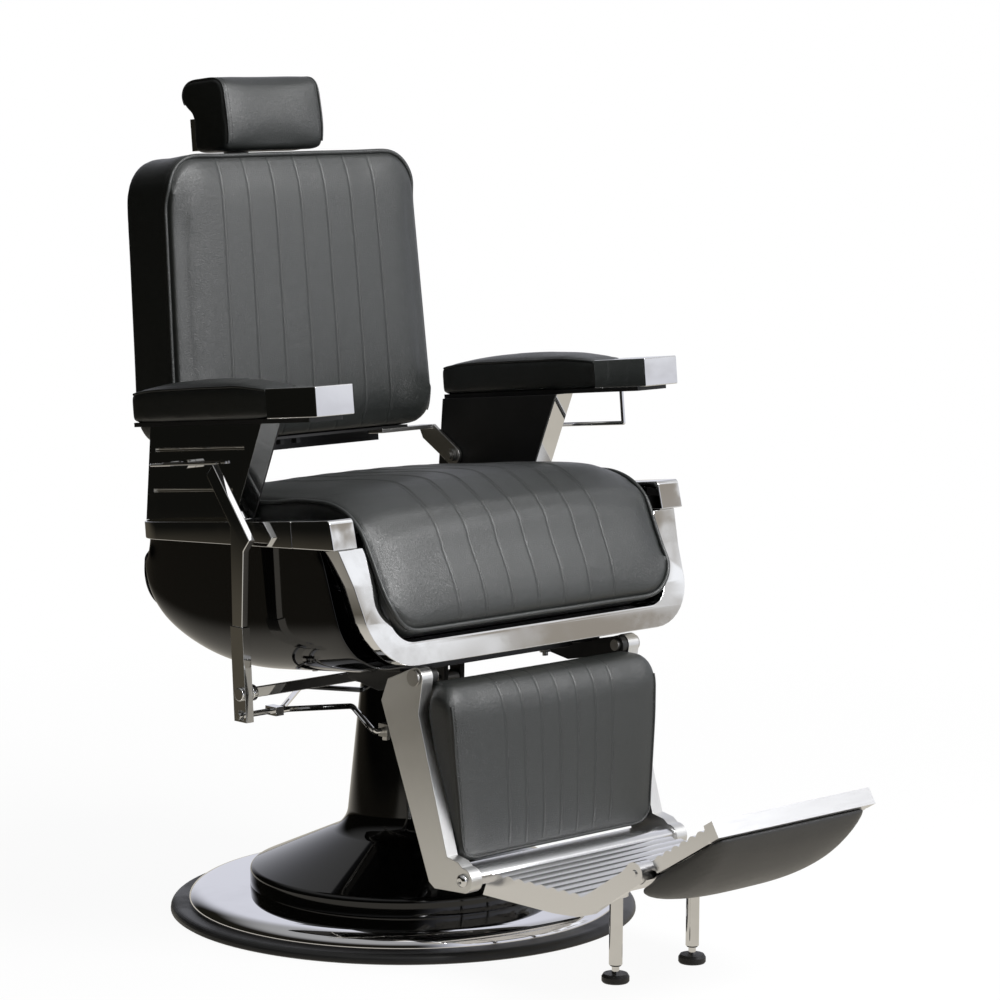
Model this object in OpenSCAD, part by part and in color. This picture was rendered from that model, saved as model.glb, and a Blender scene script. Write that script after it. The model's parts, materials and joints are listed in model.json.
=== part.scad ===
// Hydraulic barber chair: round base, telescopic pump, tub seat on a swivel, reclining back,
// sliding headrest, and a leg rest that swings up with the back and carries a folding footplate.
// Millimetres. +Z is up and the origin is the centre of the base on the floor.
// The sitter faces -Y, and +X is the sitter's left. The seat, arms and back are drawn square
// in (x, v, w) and are then tilted together: v runs back along the rails, w stands up from them.

/* [Base] */
// Outer diameter of the rubber rim
base_d = 660; // [600:10:720]
// Width of the rubber rim
rim_w = 25; // [18:1:40]
// Height of the rubber rim
rim_h = 14; // [10:1:20]
// Height of the base plate's flat middle
plate_h = 38; // [30:1:50]
// Thickness of the base plate
plate_t = 5; // [3:0.5:8]
// Radius of the bell cover's foot
cover_foot_r = 218; // [200:1:240]
// Radius of the bell cover at the top
cover_top_r = 61; // [58:1:70]
// Height of the bell cover's top above the floor
cover_top_z = 332; // [310:1:336]
// Wall of the bell cover
cover_wall = 2.5; // [2:0.5:4]

/* [Pump] */
// Radius of the lifting ram
ram_r = 30; // [26:1:34]
// Outer radius of the pump cylinder
cylinder_r = 46; // [42:1:50]
// Length of the pump cylinder above the floor
cylinder_top_z = 300; // [280:1:306]
// Radius of the swivel spigot on top of the ram
spigot_r = 24; // [18:1:25]
// Height of the seat hub's underside above the floor
hub_z = 350; // [346:1:356]

/* [Seat] */
// Angle that the seat, arms and back lean back
seat_tilt = 6; // [4:0.5:7]
// Height of the rail tops above the floor at the middle of the chair
seat_z = 582; // [578:1:590]
// Half width over the side rails
rail_x = 330; // [322:1:336]
// Width of a side rail
rail_w = 34; // [28:1:38]
// Back end of the side rails, where they have rounded the tub's corner
rail_back = 213; // [208:1:218]
// Joint between a side rail and its front corner
rail_joint = -138; // [-150:1:-125]
// Front face of the front corners
rail_front = -216; // [-222:1:-210]
// Half width of the seat cushion
cushion_x = 265; // [254:1:267]
// Height of the seat cushion's piped edge above the rail tops
cushion_edge = 24; // [18:1:32]
// Rise of the seat cushion's crown above its edge
cushion_crown = 17; // [8:1:22]
// Thickness of the tub's wall
tub_wall = 4; // [3:0.5:6]
// Depth of the tub below the rail tops
tub_depth = 209; // [204:1:212]

/* [Arms] */
// Outer face of the arm posts from the middle plane
post_x = 294; // [293:1:298]
// Thickness of an arm post
post_t = 36; // [30:1:37]
// Height of an arm post above the rail
post_h = 130; // [120:1:140]
// Centre of the arm pads from the middle plane
arm_x = 307; // [300:1:312]
// Width of an arm cap
cap_w = 66; // [60:1:70]
// Height of an arm cap
cap_h = 40; // [36:1:44]
// Length of an arm cap
cap_len = 101; // [90:1:110]
// Front face of the arm caps
cap_front = -218; // [-224:1:-212]
// Back end of the arm pads
pad_back = 192; // [184:1:196]
// How far the arm pads draw in towards the back
pad_toe_in = 15; // [8:1:18]

/* [Back] */
// Front face of the back cushion
back_v = 186; // [184:1:192]
// Thickness of the back cushion at mid height
back_t = 112; // [100:1:118]
// Bottom of the back cushion
back_w0 = 97; // [95:1:102]
// Top of the back cushion
back_w1 = 502; // [480:1:505]
// Half width of the back at its top
back_x1 = 230; // [220:1:232]
// Half width of the back at its bottom
back_x0 = 243; // [234:1:246]
// Height of the recline pivots above the rail tops
pivot_w = 46; // [40:1:50]
// Distance of the recline pivots behind the middle of the chair
pivot_v = 190; // [186:1:194]

/* [Headrest] */
// Half width of the headrest
head_x = 93; // [84:1:110]
// Height of the headrest
head_h = 105; // [96:1:120]
// Depth of the headrest
head_t = 100; // [90:1:108]
// Clear gap between the back and the headrest
head_gap = 4; // [3:0.5:8]

/* [Leg rest] */
// Distance of the leg rest's hinge in front of the middle
leg_y = 246; // [244:1:250]
// Height of the leg rest's hinge
leg_z = 388; // [386:1:390]
// Outer face of the leg arms from the middle plane
leg_x = 206; // [202:1:212]
// Thickness of a leg arm
leg_t = 20; // [14:1:20]
// Distance of the footplate's hinge rod in front of the middle
toe_y = 339; // [336:1:342]
// Height of the footplate's hinge rod
toe_z = 130; // [128:1:132]
// Radius of the footplate's hinge rod
toe_r = 5; // [4:0.5:6]

/* [Footplate] */
// Half width of the footplate
foot_x = 165; // [156:1:170]
// Number of ribs on the footplate
foot_ribs = 8; // [6:1:10]
// Pitch of the ribs
rib_pitch = 20.5; // [18:0.5:21]
// Height of the ribs
rib_h = 4; // [2:0.5:5]
// Slope of the footplate's front half and of the flip plate
ramp_slope = 31.5; // [30:0.5:33]
// Length of the flip plate from its hinge
flip_len = 146; // [138:1:148]
// Half distance between the support legs
support_x = 73.5; // [60:0.5:100]
// Distance of the support legs in front of the middle
support_y = 492; // [480:1:500]

/* [Lever] */
// Outer face of the pump lever from the middle plane
lever_x = 356; // [354:1:362]
// Thickness of the pump lever
lever_t = 13; // [10:0.5:13]
// Height of the pump lever's pivot
lever_z = 360; // [357:1:362]
// Diameter of the pump yoke's rods
rod_d = 8; // [7:0.5:9]

/* [Hidden] */

$fn = 64;
soft_gap = 0.3;      // clear gap beside curved or soft faces
run_gap = 0.05;      // radial running clearance of a pin in its bore
side_gap = 0.5;      // gap between pieces that slide past each other

chrome = [0.86, 0.86, 0.88];
steel = [0.62, 0.62, 0.64];
black = [0.06, 0.06, 0.065];
leather = [0.17, 0.17, 0.18];

// ---------- shared shapes ----------

// Points of an arc about (cx, cy), from angle a0 to a1
function arc(cx, cy, r, a0, a1, n) =
    [for (i = [0 : n]) let (a = a0 + (a1 - a0) * i / n) [cx + r * cos(a), cy + r * sin(a)]];

// Extrude an outline drawn in (y, z) along X
module along_x(x0, x1) {
    translate([x0, 0, 0]) rotate([90, 0, 90]) linear_extrude(x1 - x0) children();
}

// Extrude an outline drawn in (x, z) along Y
module along_y(y0, y1) {
    translate([0, y1, 0]) rotate([90, 0, 0]) linear_extrude(y1 - y0) children();
}

// Tilt what is drawn in (x, v, w) to its place on the chair
module tilted() {
    translate([0, 0, seat_z]) rotate([-seat_tilt, 0, 0]) children();
}

// Flip plate frame: u runs out along the plate from its hinge, n stands up from it
module on_flip() {
    translate([0, -flip_y, flip_z]) rotate([-ramp_slope, 0, 0]) children();
}

module mirrored() {
    mirror([1, 0, 0]) children();
}

// Round rod between two points, with a ball at its far end
module rod(a, b, d, ball = false) {
    v = b - a;
    len = norm(v);
    translate(a) rotate([0, acos(v[2] / len), atan2(v[1], v[0])]) cylinder(d = d, h = len);
    if (ball) translate(b) sphere(d = d);
}

// Pin or bore along X between x0 and x1
module pin_x(x0, x1, y, z, r) {
    translate([x0, y, z]) rotate([0, 90, 0]) cylinder(r = r, h = x1 - x0);
}

// Hexagon head along +Z
module hex(flats, h) {
    cylinder(d = flats / cos(30), h = h, $fn = 6);
}

function middle(ring) = [for (i = [0 : 2]) let (c = [for (p = ring) p[i]]) (min(c) + max(c)) / 2];

// Closed solid through a list of rings that all have the same number of points
// core is the (y, z) of a point that sees all of an end ring, where its middle does not
module loft(rings, core = undef) {
    m = len(rings[0]);
    k = len(rings);
    ends = [for (e = [0, k - 1]) core == undef ? middle(rings[e]) : [middle(rings[e])[0], core[0], core[1]]];
    pts = concat([for (ring = rings) for (p = ring) p], ends);
    faces = [for (j = [0 : m - 1]) let (q = (j + 1) % m, e = (k - 1) * m) each concat(
        [for (i = [0 : k - 2]) each [[i * m + j, i * m + m + j, i * m + q],
            [i * m + q, i * m + m + j, i * m + m + q]]],
        [[j, q, k * m], [e + q, e + j, k * m + 1]])];
    polyhedron(pts, faces);
}

// Stations across a pad of half width hw with rounded corners of radius r,
// and a narrow sewn channel at each place in lines
function pad_stations(hw, r, lines) = let (
        corner = [for (a = [0, 20, 42, 62, 78, 90]) hw - r + r * sin(a)],
        right = [for (x = corner) x],
        left = [for (i = [len(corner) - 1 : -1 : 0]) -corner[i]],
        middle = [for (x = lines) each [x - channel_half, x, x + channel_half]])
    concat(left, middle, right);

channel_half = 3;      // half width of a sewn channel
channel_deep = 1.6;    // depth of a sewn channel

function is_line(x, lines) = len([for (l = lines) if (abs(x - l) < 0.01) l]) > 0;
function channel(x, lines) = is_line(x, lines) ? channel_deep : 0;

// How far a corner of radius r cuts in from the end of a pad of half width hw at x
function corner_cut(x, hw, r) = let (s = max(0, abs(x) - (hw - r))) r - sqrt(max(0, r * r - s * s));

// ---------- base ----------

plate_r = base_d / 2 - rim_w;
cover_foot_h = 18;      // height of the bell cover's upright foot
cover_slope = 24;       // slope of the bell cover's skirt
cover_fillet = 38;      // radius where the skirt turns up into the column
waist_r = cover_top_r + 19;
waist_z = plate_h + 98;
socket_r = cylinder_r + run_gap;
socket_wall = 9;
socket_flange_r = 96;
bolt_ring_r = 76;

edge_w = 30;            // width of the plate's rounded edge
edge_h = 18;            // and its height

// Top of the base plate from its edge to the bell cover, (r, z), moved down by d
function plate_outline(d) = concat(
    [for (a = [90 : -9 : 0]) [plate_r - edge_w + (edge_w - d) * sin(a),
        rim_h + 2 + (edge_h - d) * cos(a)]],
    [[cover_foot_r + 2, plate_h - d]]);

module base_plate() {
    color(chrome) rotate_extrude($fn = 128) polygon(concat(
        [[plate_r, 3]], plate_outline(0), [[cylinder_r + 1, plate_h], [cylinder_r + 1, plate_h - plate_t]],
        turned(plate_outline(plate_t)), [[plate_r - plate_t, 3]]));
}

module rubber_rim() {
    outer = base_d / 2;
    color(black) rotate_extrude($fn = 128) polygon(concat(
        [[plate_r - plate_t - 6, 0], [outer - 3, 0], [outer, 2]],
        arc(outer - 10, rim_h - 10, 10, 0, 90, 6),
        [[plate_r, rim_h], [plate_r, 3], [plate_r - plate_t - 6, 3]]));
}

// Outline of the bell cover from its foot to its top, (r, z)
function cover_outline() = let (
        shoulder = 9,
        foot_z = plate_h + cover_foot_h,
        s = [-cos(cover_slope), sin(cover_slope)],
        sn = [sin(cover_slope), cos(cover_slope)],
        top = [cover_top_r, cover_top_z],
        waist = [waist_r, waist_z],
        c = (top - waist) / norm(top - waist),
        cn = [c[1], -c[0]],
        edge = [cover_foot_r - shoulder, foot_z] + shoulder * sn,
        d1 = sn * edge + cover_fillet,
        d2 = cn * waist + cover_fillet,
        det = sn[0] * cn[1] - sn[1] * cn[0],
        centre = [(d1 * cn[1] - d2 * sn[1]) / det, (d2 * sn[0] - d1 * cn[0]) / det],
        a1 = atan2(-sn[1], -sn[0]),
        a2 = atan2(-cn[1], -cn[0]))
    concat([[cover_foot_r, plate_h]],
        arc(cover_foot_r - shoulder, foot_z, shoulder, 0, 90 - cover_slope, 6),
        arc(centre[0], centre[1], cover_fillet, a1, a2, 10),
        [top]);

module bell_cover() {
    outer = cover_outline();
    inner = [for (i = [len(outer) - 1 : -1 : 0])
        [outer[i][0] - cover_wall, outer[i][1] - (i == 0 || i == len(outer) - 1 ? 0 : cover_wall)]];
    color(black) rotate_extrude($fn = 96) polygon(concat(outer, inner));
}

// Ring that closes the cover round the ram
module cover_collar() {
    color(black) rotate_extrude($fn = 96) polygon([
        [ram_r + 0.8, cover_top_z - 8], [cover_top_r - cover_wall - 0.1, cover_top_z - 8],
        [cover_top_r - cover_wall - 0.1, cover_top_z], [cover_top_r, cover_top_z],
        [cover_top_r - 2, cover_top_z + 4], [ram_r + 2.8, cover_top_z + 4], [ram_r + 0.8, cover_top_z + 2]]);
}

module pump_socket() {
    color(steel) difference() {
        union() {
            translate([0, 0, plate_h]) cylinder(r = socket_flange_r, h = 10);
            translate([0, 0, plate_h]) cylinder(r = socket_r + socket_wall, h = 70);
        }
        translate([0, 0, plate_h - 1]) cylinder(r = socket_r, h = 72);
        for (a = [45 : 90 : 315]) rotate([0, 0, a]) translate([bolt_ring_r, 0, plate_h - 1])
            cylinder(r = 5.5, h = 12);
    }
}

module socket_bolts() {
    color(steel) for (a = [45 : 90 : 315]) rotate([0, 0, a]) translate([bolt_ring_r, 0, plate_h]) {
        cylinder(r = 5, h = 10);
        translate([0, 0, 10]) hex(17, 7);
    }
}

module pump_cylinder() {
    color(steel) difference() {
        translate([0, 0, plate_h - 18]) cylinder(r = cylinder_r, h = cylinder_top_z - plate_h + 18);
        translate([0, 0, plate_h - 8]) cylinder(r = ram_r + run_gap, h = cylinder_top_z);
    }
}

// ---------- ram ----------

module pump_ram() {
    spigot_len = 15;
    color(chrome) {
        translate([0, 0, plate_h + 22]) cylinder(r = ram_r, h = hub_z - plate_h - 22);
        translate([0, 0, hub_z]) cylinder(r = spigot_r, h = spigot_len);
    }
}

// ---------- seat structure ----------

mount_t = 9;
mount_w = -tub_depth;     // top of the mount plate, against the tub's floor
mount_x = 148;
mount_v0 = -165;
mount_v1 = 110;
hub_r = 44;

module seat_mount() {
    color(black) difference() {
        union() {
            intersection() {
                translate([0, 0, hub_z]) cylinder(r = hub_r, h = 60);
                tilted() translate([-hub_r, -hub_r * 2, mount_w - mount_t - 40])
                    cube([hub_r * 2, hub_r * 4, mount_t + 40]);
            }
            tilted() translate([-mount_x, mount_v0, mount_w - mount_t])
                cube([mount_x * 2, mount_v1 - mount_v0, mount_t]);
            // lugs that carry the pump rocker
            for (x = [-rocker_w / 2 - lug_t - side_gap, rocker_w / 2 + side_gap])
                along_x(x, x + lug_t) polygon(concat(
                    arc(-rocker_y, rocker_z, 11, 180, 360, 10),
                    [[-rocker_y + 11, rocker_z + 30], [-rocker_y - 11, rocker_z + 30]]));
            // lug that carries the lever bracket
            translate([-mount_x, -lever_y - 14, lever_z - 9]) cube([12, 28, 20]);
        }
        translate([0, 0, hub_z - 1]) cylinder(r = spigot_r + run_gap, h = 62);
        pin_x(-40, 40, -rocker_y, rocker_z, 4 + run_gap);
    }
}

module mount_bolts() {
    color(steel) tilted() for (x = [-118, 118], v = [-140, -60, 80])
        translate([x, v, mount_w - mount_t]) {
            translate([0, 0, -6]) hex(14, 6);
            translate([0, 0, -6 - 5]) cylinder(r = 4, h = 5);
        }
}

frame_x = 150;
frame_t = 6;
pan_t = 12;
pan_w = -10;        // top of the seat pan
beam_x = rail_x - 42;
apron_v = 204;      // front of the pan's apron, which closes the band's opening

module seat_frame() {
    floor_w = -tub_depth + tub_wall;
    color(black) tilted() {
        for (x = [-frame_x, frame_x - frame_t]) difference() {
            along_x(x, x + frame_t) polygon([[-150, floor_w + 6], [40, floor_w + 6],
                [140, pan_w - pan_t - 60], [140, pan_w - pan_t], [-195, pan_w - pan_t],
                [-195, pan_w - pan_t - 60]]);
            for (v = [-110, -20, 60]) pin_x(x - 1, x + frame_t + 1, v, -90, 22);
        }
        for (v = [-150, -30]) translate([-frame_x, v - 15, floor_w])
            cube([frame_x * 2, 30, 6]);
        for (v = [-165, 105]) difference() {
            translate([-beam_x, v - 12, pan_w - pan_t - 26]) cube([2 * beam_x, 24, 26]);
            translate([-rail_x, v - 9, pan_w - pan_t - 23]) cube([2 * rail_x, 18, 20]);
        }
    }
}

module seat_pan() {
    color([0.45, 0.36, 0.25]) tilted() difference() {
        union() {
            translate([-cushion_x + 4, -apron_v, pan_w - pan_t])
                cube([2 * cushion_x - 8, apron_v + 174, pan_t]);
            along_y(-apron_v, -apron_v + 8) intersection() {
                polygon(band_u(band_in + 1, band_low + 1, 35));
                translate([-cushion_x, -250]) square([2 * cushion_x, 250 + pan_w - 1]);
            }
        }
        for (x = [-120, 120], v = [-100, 60]) translate([x, v, pan_w - pan_t - 1])
            cylinder(r = 15, h = pan_t + 2);
    }
}

// Back of the tub: tub_rim inside the rails, and tub_back where it bulges most below them
tub_rim = rail_back - 5;
tub_back = rail_back + 20;
tub_corner = 62;
tub_front = -250;

function smooth(t) = let (c = min(1, max(0, t))) c * c * (3 - 2 * c);

tub_bulge = -rail_w - 3;       // where the back begins to bulge, clear below the rails

function tub_v(w) = lerp(tub_rim, tub_back, smooth((tub_bulge - w) / 42));

// Half width of the tub at v and w, and the place of its floor at v
function tub_half(v, w) = let (s = min(tub_corner, max(0, v - tub_v(w) + tub_corner)))
    rail_x - 5 - tub_corner + sqrt(max(0, tub_corner * tub_corner - s * s));
function tub_floor(v) = v < -187 ? -tub_depth + 10 * (-187 - v) / 63
    : v < 0 ? -tub_depth
    : -tub_depth + 136 * (1 - sqrt(max(0, 1 - pow(v / (tub_back + 0.3), 1.9))));

// Upper edge of the tub at v: it drops where the back bulges out under the rails
function tub_top(v) = v <= tub_rim ? -4 : tub_bulge - 42 * (v - tub_rim) / (tub_back - tub_rim);

// One ring of the tub: side walls that lean in, round lower corners and a flat floor.
// d shrinks it for the inner face, and top is where its upper edge lies.
function tub_ring(v, d, top, vv) = let (
        fw = tub_floor(vv) + d,
        t0 = max(fw + 6, min(top, tub_top(vv))),
        r = min(75, (t0 - fw) * 0.55),
        lw = fw + r,
        lean = 6,
        ws = [max(top, t0), lerp(t0, lw, 0.25), lerp(t0, lw, 0.5), lerp(t0, lw, 0.75)],
        side = [for (w = ws) [tub_half(vv, w) - d - lean * max(0, t0 - w) / max(1, t0 - lw), w]],
        bx = tub_half(vv, lw) - d - lean)
    concat(
        [for (q = side) [q[0], v, q[1]]],
        [for (a = [0 : 18 : 90]) [bx - r + r * cos(a), v, lw - r * sin(a)]],
        [for (a = [90 : -18 : 0]) [-bx + r - r * cos(a), v, lw - r * sin(a)]],
        [for (i = [3 : -1 : 0]) [-side[i][0], v, side[i][1]]]);

function lerp(a, b, t) = a + (b - a) * t;

module seat_tub() {
    vs = [tub_front, -187, -100, 0, 50, 100, 140, 160, 178, 192, 202, tub_rim,
        tub_rim + 0.5, 216, 224, tub_back - 4];
    outer = [for (v = vs) tub_ring(v, 0, tub_top(v), v)];
    inner = [for (v = vs) tub_ring(v == tub_front ? v - 4 : v - tub_wall, tub_wall, 3, v)];
    color(black) tilted() difference() {
        loft(outer);
        loft(inner);
        // its front edge ends on the band's rear face
        along_x(-rail_x, rail_x) polygon(concat([[-400, 20], [rail_front + band_deep, 20]],
            band_rear(), [[band_rear()[4][0], -300], [-400, -300]]));
    }
}

band_in = 43;       // width of the band's upright sides, seen from the front
band_low = 31;      // width of the band along the bottom
band_deep = 30;     // depth of the band from front to back

// Outline of the band's outer edge, (x, w), from the left top round to the right top
function band_u(dx, dw, r) = let (
        x0 = rail_x - 12 - dx,
        x1 = rail_x - 27 - dx,
        low = -tub_depth + 10 + dw)
    concat([[x0, -39.5], [lerp(x0, x1, 0.75), -90]],
        arc(x1 - r, low + r, r, 0, -90, 10),
        arc(-x1 + r, low + r, r, -90, -180, 10),
        [[-lerp(x0, x1, 0.75), -90], [-x0, -39.5]]);

// Line of the band's front face, (v, w), from top to bottom
function band_face(d) = [[rail_front + d, -39.5], [-229 + d, -85], [-243 + d, -138],
    [-251 + d, -174], [-256 + d, -tub_depth + 10]];

module front_band() {
    color(chrome) tilted() intersection() {
        along_y(-300, -150) difference() {
            polygon(band_u(0, 0, 75));
            polygon(concat([[rail_x - 12 - band_in, 10]], band_u(band_in, band_low, 36),
                [[-rail_x + 12 + band_in, 10]]));
        }
        along_x(-rail_x, rail_x) polygon(concat(band_face(0),
            [for (i = [4 : -1 : 0]) band_rear()[i]]));
    }
}

function band_rear() = [for (i = [0 : 4]) band_face(band_deep + (i > 2 ? 8 : 0))[i]];

rail_r = 67;        // radius of a rail's bend round the tub's back corner
rail_t = 4;

// Plan of the right rail's outer edge, set in by d, (x, v)
function rail_plan(d) = concat([[-rail_x + d, rail_joint]],
    arc(-rail_x + rail_r, rail_back - rail_r, rail_r - d, 180, 90, 12));

function turned(list) = [for (i = [len(list) - 1 : -1 : 0]) list[i]];

// Side rail: an angle whose flat top widens under the arm post
module rail_right() {
    seat = -post_x + post_t;
    color(chrome) tilted() {
        translate([0, 0, -rail_t]) linear_extrude(rail_t) polygon(concat(rail_plan(0),
            [[seat, rail_back], [seat, post_front[0] - 12], [-rail_x + rail_w, post_front[0] - 12],
             [-rail_x + rail_w, rail_joint]]));
        intersection() {
            translate([0, 0, -40]) linear_extrude(40 - rail_t) polygon(concat(rail_plan(0), turned(rail_plan(rail_t))));
            along_x(-rail_x - 1, 0) polygon([[rail_joint - 1, 0], [rail_back + 1, 0], [rail_back + 1, -22],
                [rail_joint - 1, -36]]);
        }
    }
}

module rail_left() {
    mirrored() rail_right();
}

corner_w = 42;      // width of a front corner's front face

// Front corner: closes the rail and stands on the top of the band
module rail_corner_right() {
    color(chrome) tilted() difference() {
        along_x(-rail_x, -rail_x + corner_w) polygon([[rail_front + 3, 1], [rail_joint - 0.5, 0],
            [rail_joint - 0.5, -36], [rail_front - 5, -39], [rail_front, -3]]);
        along_x(-rail_x + 4, -rail_x + corner_w + 1) polygon([[rail_front + 24, -4],
            [rail_joint + 1, -4], [rail_joint + 1, -41], [rail_front + 24, -41]]);
    }
}

module rail_corner_left() {
    mirrored() rail_corner_right();
}

// ---------- seat cushion ----------

seat_back = 172;
seat_front = -262;
seat_low = -160;
seat_lines = [-150, -100, -50, 0, 50, 100, 150];

// Cross-section of the seat cushion at x: crowned top, rounded front, upright waterfall, (v, w)
function seat_section(x) = let (
        s = abs(x) / cushion_x,
        rise = cushion_crown * (1 - pow(s, 2.4)) - channel(x, seat_lines),
        out = 9 * (1 - pow(s, 2.4)) - channel(x, seat_lines),
        cut = corner_cut(x, cushion_x, 46),
        top = cushion_edge + rise,
        low = seat_low + cut)
    [[seat_back, pan_w + soft_gap], [seat_back + 4, 4], [seat_back, cushion_edge - 6 + rise * 0.2],
     [seat_back - 14, cushion_edge + rise * 0.5], [100, top], [0, top], [-90, top + 1],
     [-160 - out, top - 5], [-192 - out, top - 19], [-212 - out, top - 42], [-222 - out, top - 68],
     [-236 - out, -70], [-246 - out, -105 + cut * 0.15], [seat_front + 8 - out, low + 14],
     [seat_front + 10 - out * 0.4, low + 4], [seat_front + 20, low],
     [-212, low + 2], [-apron_v - soft_gap - 1, lerp(low, pan_w - pan_t - 14, 0.5)],
     [-apron_v - soft_gap - 1, pan_w - pan_t - 10], [-apron_v - soft_gap, pan_w + soft_gap]];

// The front narrows with the band's opening
function seat_half(w) = 1 - 0.022 * min(1, max(0, (-55 - w) / 90));

// and its back half fits between the arm posts
function seat_taper(v) = lerp(1, (post_x - post_t - 2) / cushion_x, min(1, max(0, (v + 90) / 90)));

module seat_cushion() {
    color(leather) tilted() loft([for (x = pad_stations(cushion_x, 46, seat_lines))
        [for (p = seat_section(x)) [x * seat_half(p[1]) * seat_taper(p[0]), p[0], p[1]]]],
        core = [-212, 5]);
}

// ---------- arms ----------

post_front = [18, -52];         // front edge of a post at the rail and at the pad
post_rear = [211, 187];         // back edge of a post at the rail and at the pad
post_skin = 3;

function post_outline(d) = [[post_front[0] + d, 0], [post_rear[0] - d, 0],
    [post_rear[1] - d, post_h], [post_front[1] + d, post_h]];

// Arm post: a pressed shell with two long grooves, open towards the sitter
module arm_post_right() {
    color(chrome) tilted() difference() {
        along_x(-post_x, -post_x + post_t - post_skin) polygon(post_outline(0));
        along_x(-post_x + post_skin * 1.8, -post_x + post_t) polygon(post_outline(post_skin));
        pin_x(-post_x - 1, 0, release_v, release_w, release_r + run_gap);
        for (w = [40, 96]) {
            front = lerp(post_front[0], post_front[1], w / post_h) + 22;
            back = lerp(post_rear[0], post_rear[1], w / post_h) - 14;
            translate([-post_x, front, w]) rotate([-90, 0, 0]) cylinder(r = 2.6, h = back - front, $fn = 24);
        }
    }
}

module arm_post_left() {
    mirrored() arm_post_right();
}

module arm_lining_right() {
    color(black) tilted() difference() {
        along_x(-post_x + post_t - post_skin, -post_x + post_t) polygon(post_outline(0));
        pin_x(-post_x, 0, bolt_v, pivot_w, bolt_r + run_gap);
    }
}

module arm_lining_left() {
    mirrored() arm_lining_right();
}

board_t = 6;

// Middle of an arm pad at v: the pads draw in towards the back
function arm_mid(v) = -arm_x + pad_toe_in * max(0, (v - cap_front - cap_len) / (pad_back - cap_front - cap_len));

module arm_board_right() {
    hw = cap_w / 2 - 4;
    v0 = cap_front + 20;
    v1 = cap_front + cap_len;
    v2 = pad_back - 4;
    color(black) tilted() difference() {
        translate([0, 0, post_h]) linear_extrude(board_t) polygon([
            [arm_mid(v0) - hw, v0], [arm_mid(v0) + hw, v0], [arm_mid(v1) + hw, v1], [arm_mid(v2) + hw, v2],
            [arm_mid(v2) - hw, v2], [arm_mid(v1) - hw, v1]]);
        for (v = [-20, 60, 130]) translate([arm_mid(v) + 6, v, post_h - 1]) cylinder(r = 4, h = board_t + 2);
    }
}

module arm_board_left() {
    mirrored() arm_board_right();
}

// Arm cap: a hollow casting, open towards the pad
module arm_cap_right() {
    color(chrome) tilted() difference() {
        translate([-arm_x - cap_w / 2, cap_front, post_h + board_t]) cube([cap_w, cap_len, cap_h]);
        translate([-arm_x - cap_w / 2 + 5, cap_front + 6, post_h + board_t - 1])
            cube([cap_w - 10, cap_len, cap_h - 4]);
    }
}

module arm_cap_left() {
    mirrored() arm_cap_right();
}

pad_side = cap_w / 2 + 2;
pad_edge = 46;      // height of the pad's side seam above the board
pad_crown = 12;

// Cross-section of an arm pad at v, (x, w) about its centre line
function arm_section(v) = let (
        front = cap_front + cap_len + soft_gap,
        t = (v - front) / (pad_back - front),
        swell = sin(180 * min(1, 0.08 + t * 0.92)),
        hx = pad_side - 6 * pow(abs(2 * t - 1), 8),
        base = post_h + board_t + soft_gap,
        edge = lerp(cap_h, pad_edge, min(1, t * 5)) - 6 * pow(t, 10),
        top = edge + pad_crown * (t < 0.06 ? 0.1 : pow(swell, 0.6)) - 2)
    [[-hx + 4, v, base], [-hx, v, base + 5], [-hx + 1.5, v, base + edge * 0.5], [-hx, v, base + edge - 8],
     [-hx + 3, v, base + edge - 1], [-hx * 0.7, v, base + lerp(edge, top, 0.6)],
     [-hx * 0.35, v, base + lerp(edge, top, 0.9)], [0, v, base + top],
     [hx * 0.35, v, base + lerp(edge, top, 0.9)], [hx * 0.7, v, base + lerp(edge, top, 0.6)],
     [hx - 3, v, base + edge - 1], [hx, v, base + edge - 8], [hx - 1.5, v, base + edge * 0.5],
     [hx, v, base + 5], [hx - 4, v, base]];

module arm_pad_right() {
    front = cap_front + cap_len + soft_gap;
    n = 14;
    color(leather) tilted() loft([for (i = [0 : n]) let (v = lerp(front, pad_back, pow(i / n, 0.92)))
        [for (q = arm_section(v)) q + [arm_mid(v), 0, 0]]]);
}

module arm_pad_left() {
    mirrored() arm_pad_right();
}

wire_d = 6;
towel_x = arm_x;
towel_w = 84;
towel_v = [-137, 30];

// Towel bar under the left arm
module towel_bar() {
    color(chrome) tilted() {
        for (v = towel_v) {
            translate([towel_x, v, towel_w]) cylinder(d = wire_d, h = post_h - towel_w);
            translate([towel_x, v, towel_w]) sphere(d = wire_d);
        }
        translate([towel_x, towel_v[0], towel_w]) rotate([-90, 0, 0])
            cylinder(d = wire_d, h = towel_v[1] - towel_v[0]);
    }
}

// Release handle: a wire loop on a spindle that turns in the right arm post
release_v = 98;
release_w = 77;
release_r = 4;       // spindle
wire_r = 2;

module release_handle() {
    out = -post_x - 0.4;
    color(chrome) tilted() {
        pin_x(out - 14, out, release_v, release_w, 6);
        pin_x(out - 0.5, -post_x + post_skin * 1.8 - 0.5, release_v, release_w, release_r);
        translate([0, 0, release_w]) tube(rounded([[out - 5, release_v - 62, 0],
            [out - 5, release_v + 66, 0], [out - 27, release_v + 66, 0],
            [out - 10.5, release_v - 62, 0]], 8, 4), wire_r, 10);
    }
}

// ---------- recline ----------

eye_r = 15;
bolt_r = 6;

bolt_v = pivot_v - 24;

// Shoulder bolts: the head bears inside the post, the nut keeps the back's arm on
module recline_bolts() {
    face = -post_x + post_t;
    color(steel) tilted() for (s = [-1, 1]) scale_x(s) {
        pin_x(face - post_skin, face + 17, bolt_v, pivot_w, bolt_r);
        pin_x(face - post_skin - 7, face - post_skin, bolt_v, pivot_w, 10);
        pin_x(-arm_plate_x + arm_plate_t + side_gap, -arm_plate_x + arm_plate_t + 7, bolt_v, pivot_w, 10);
    }
}

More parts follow.
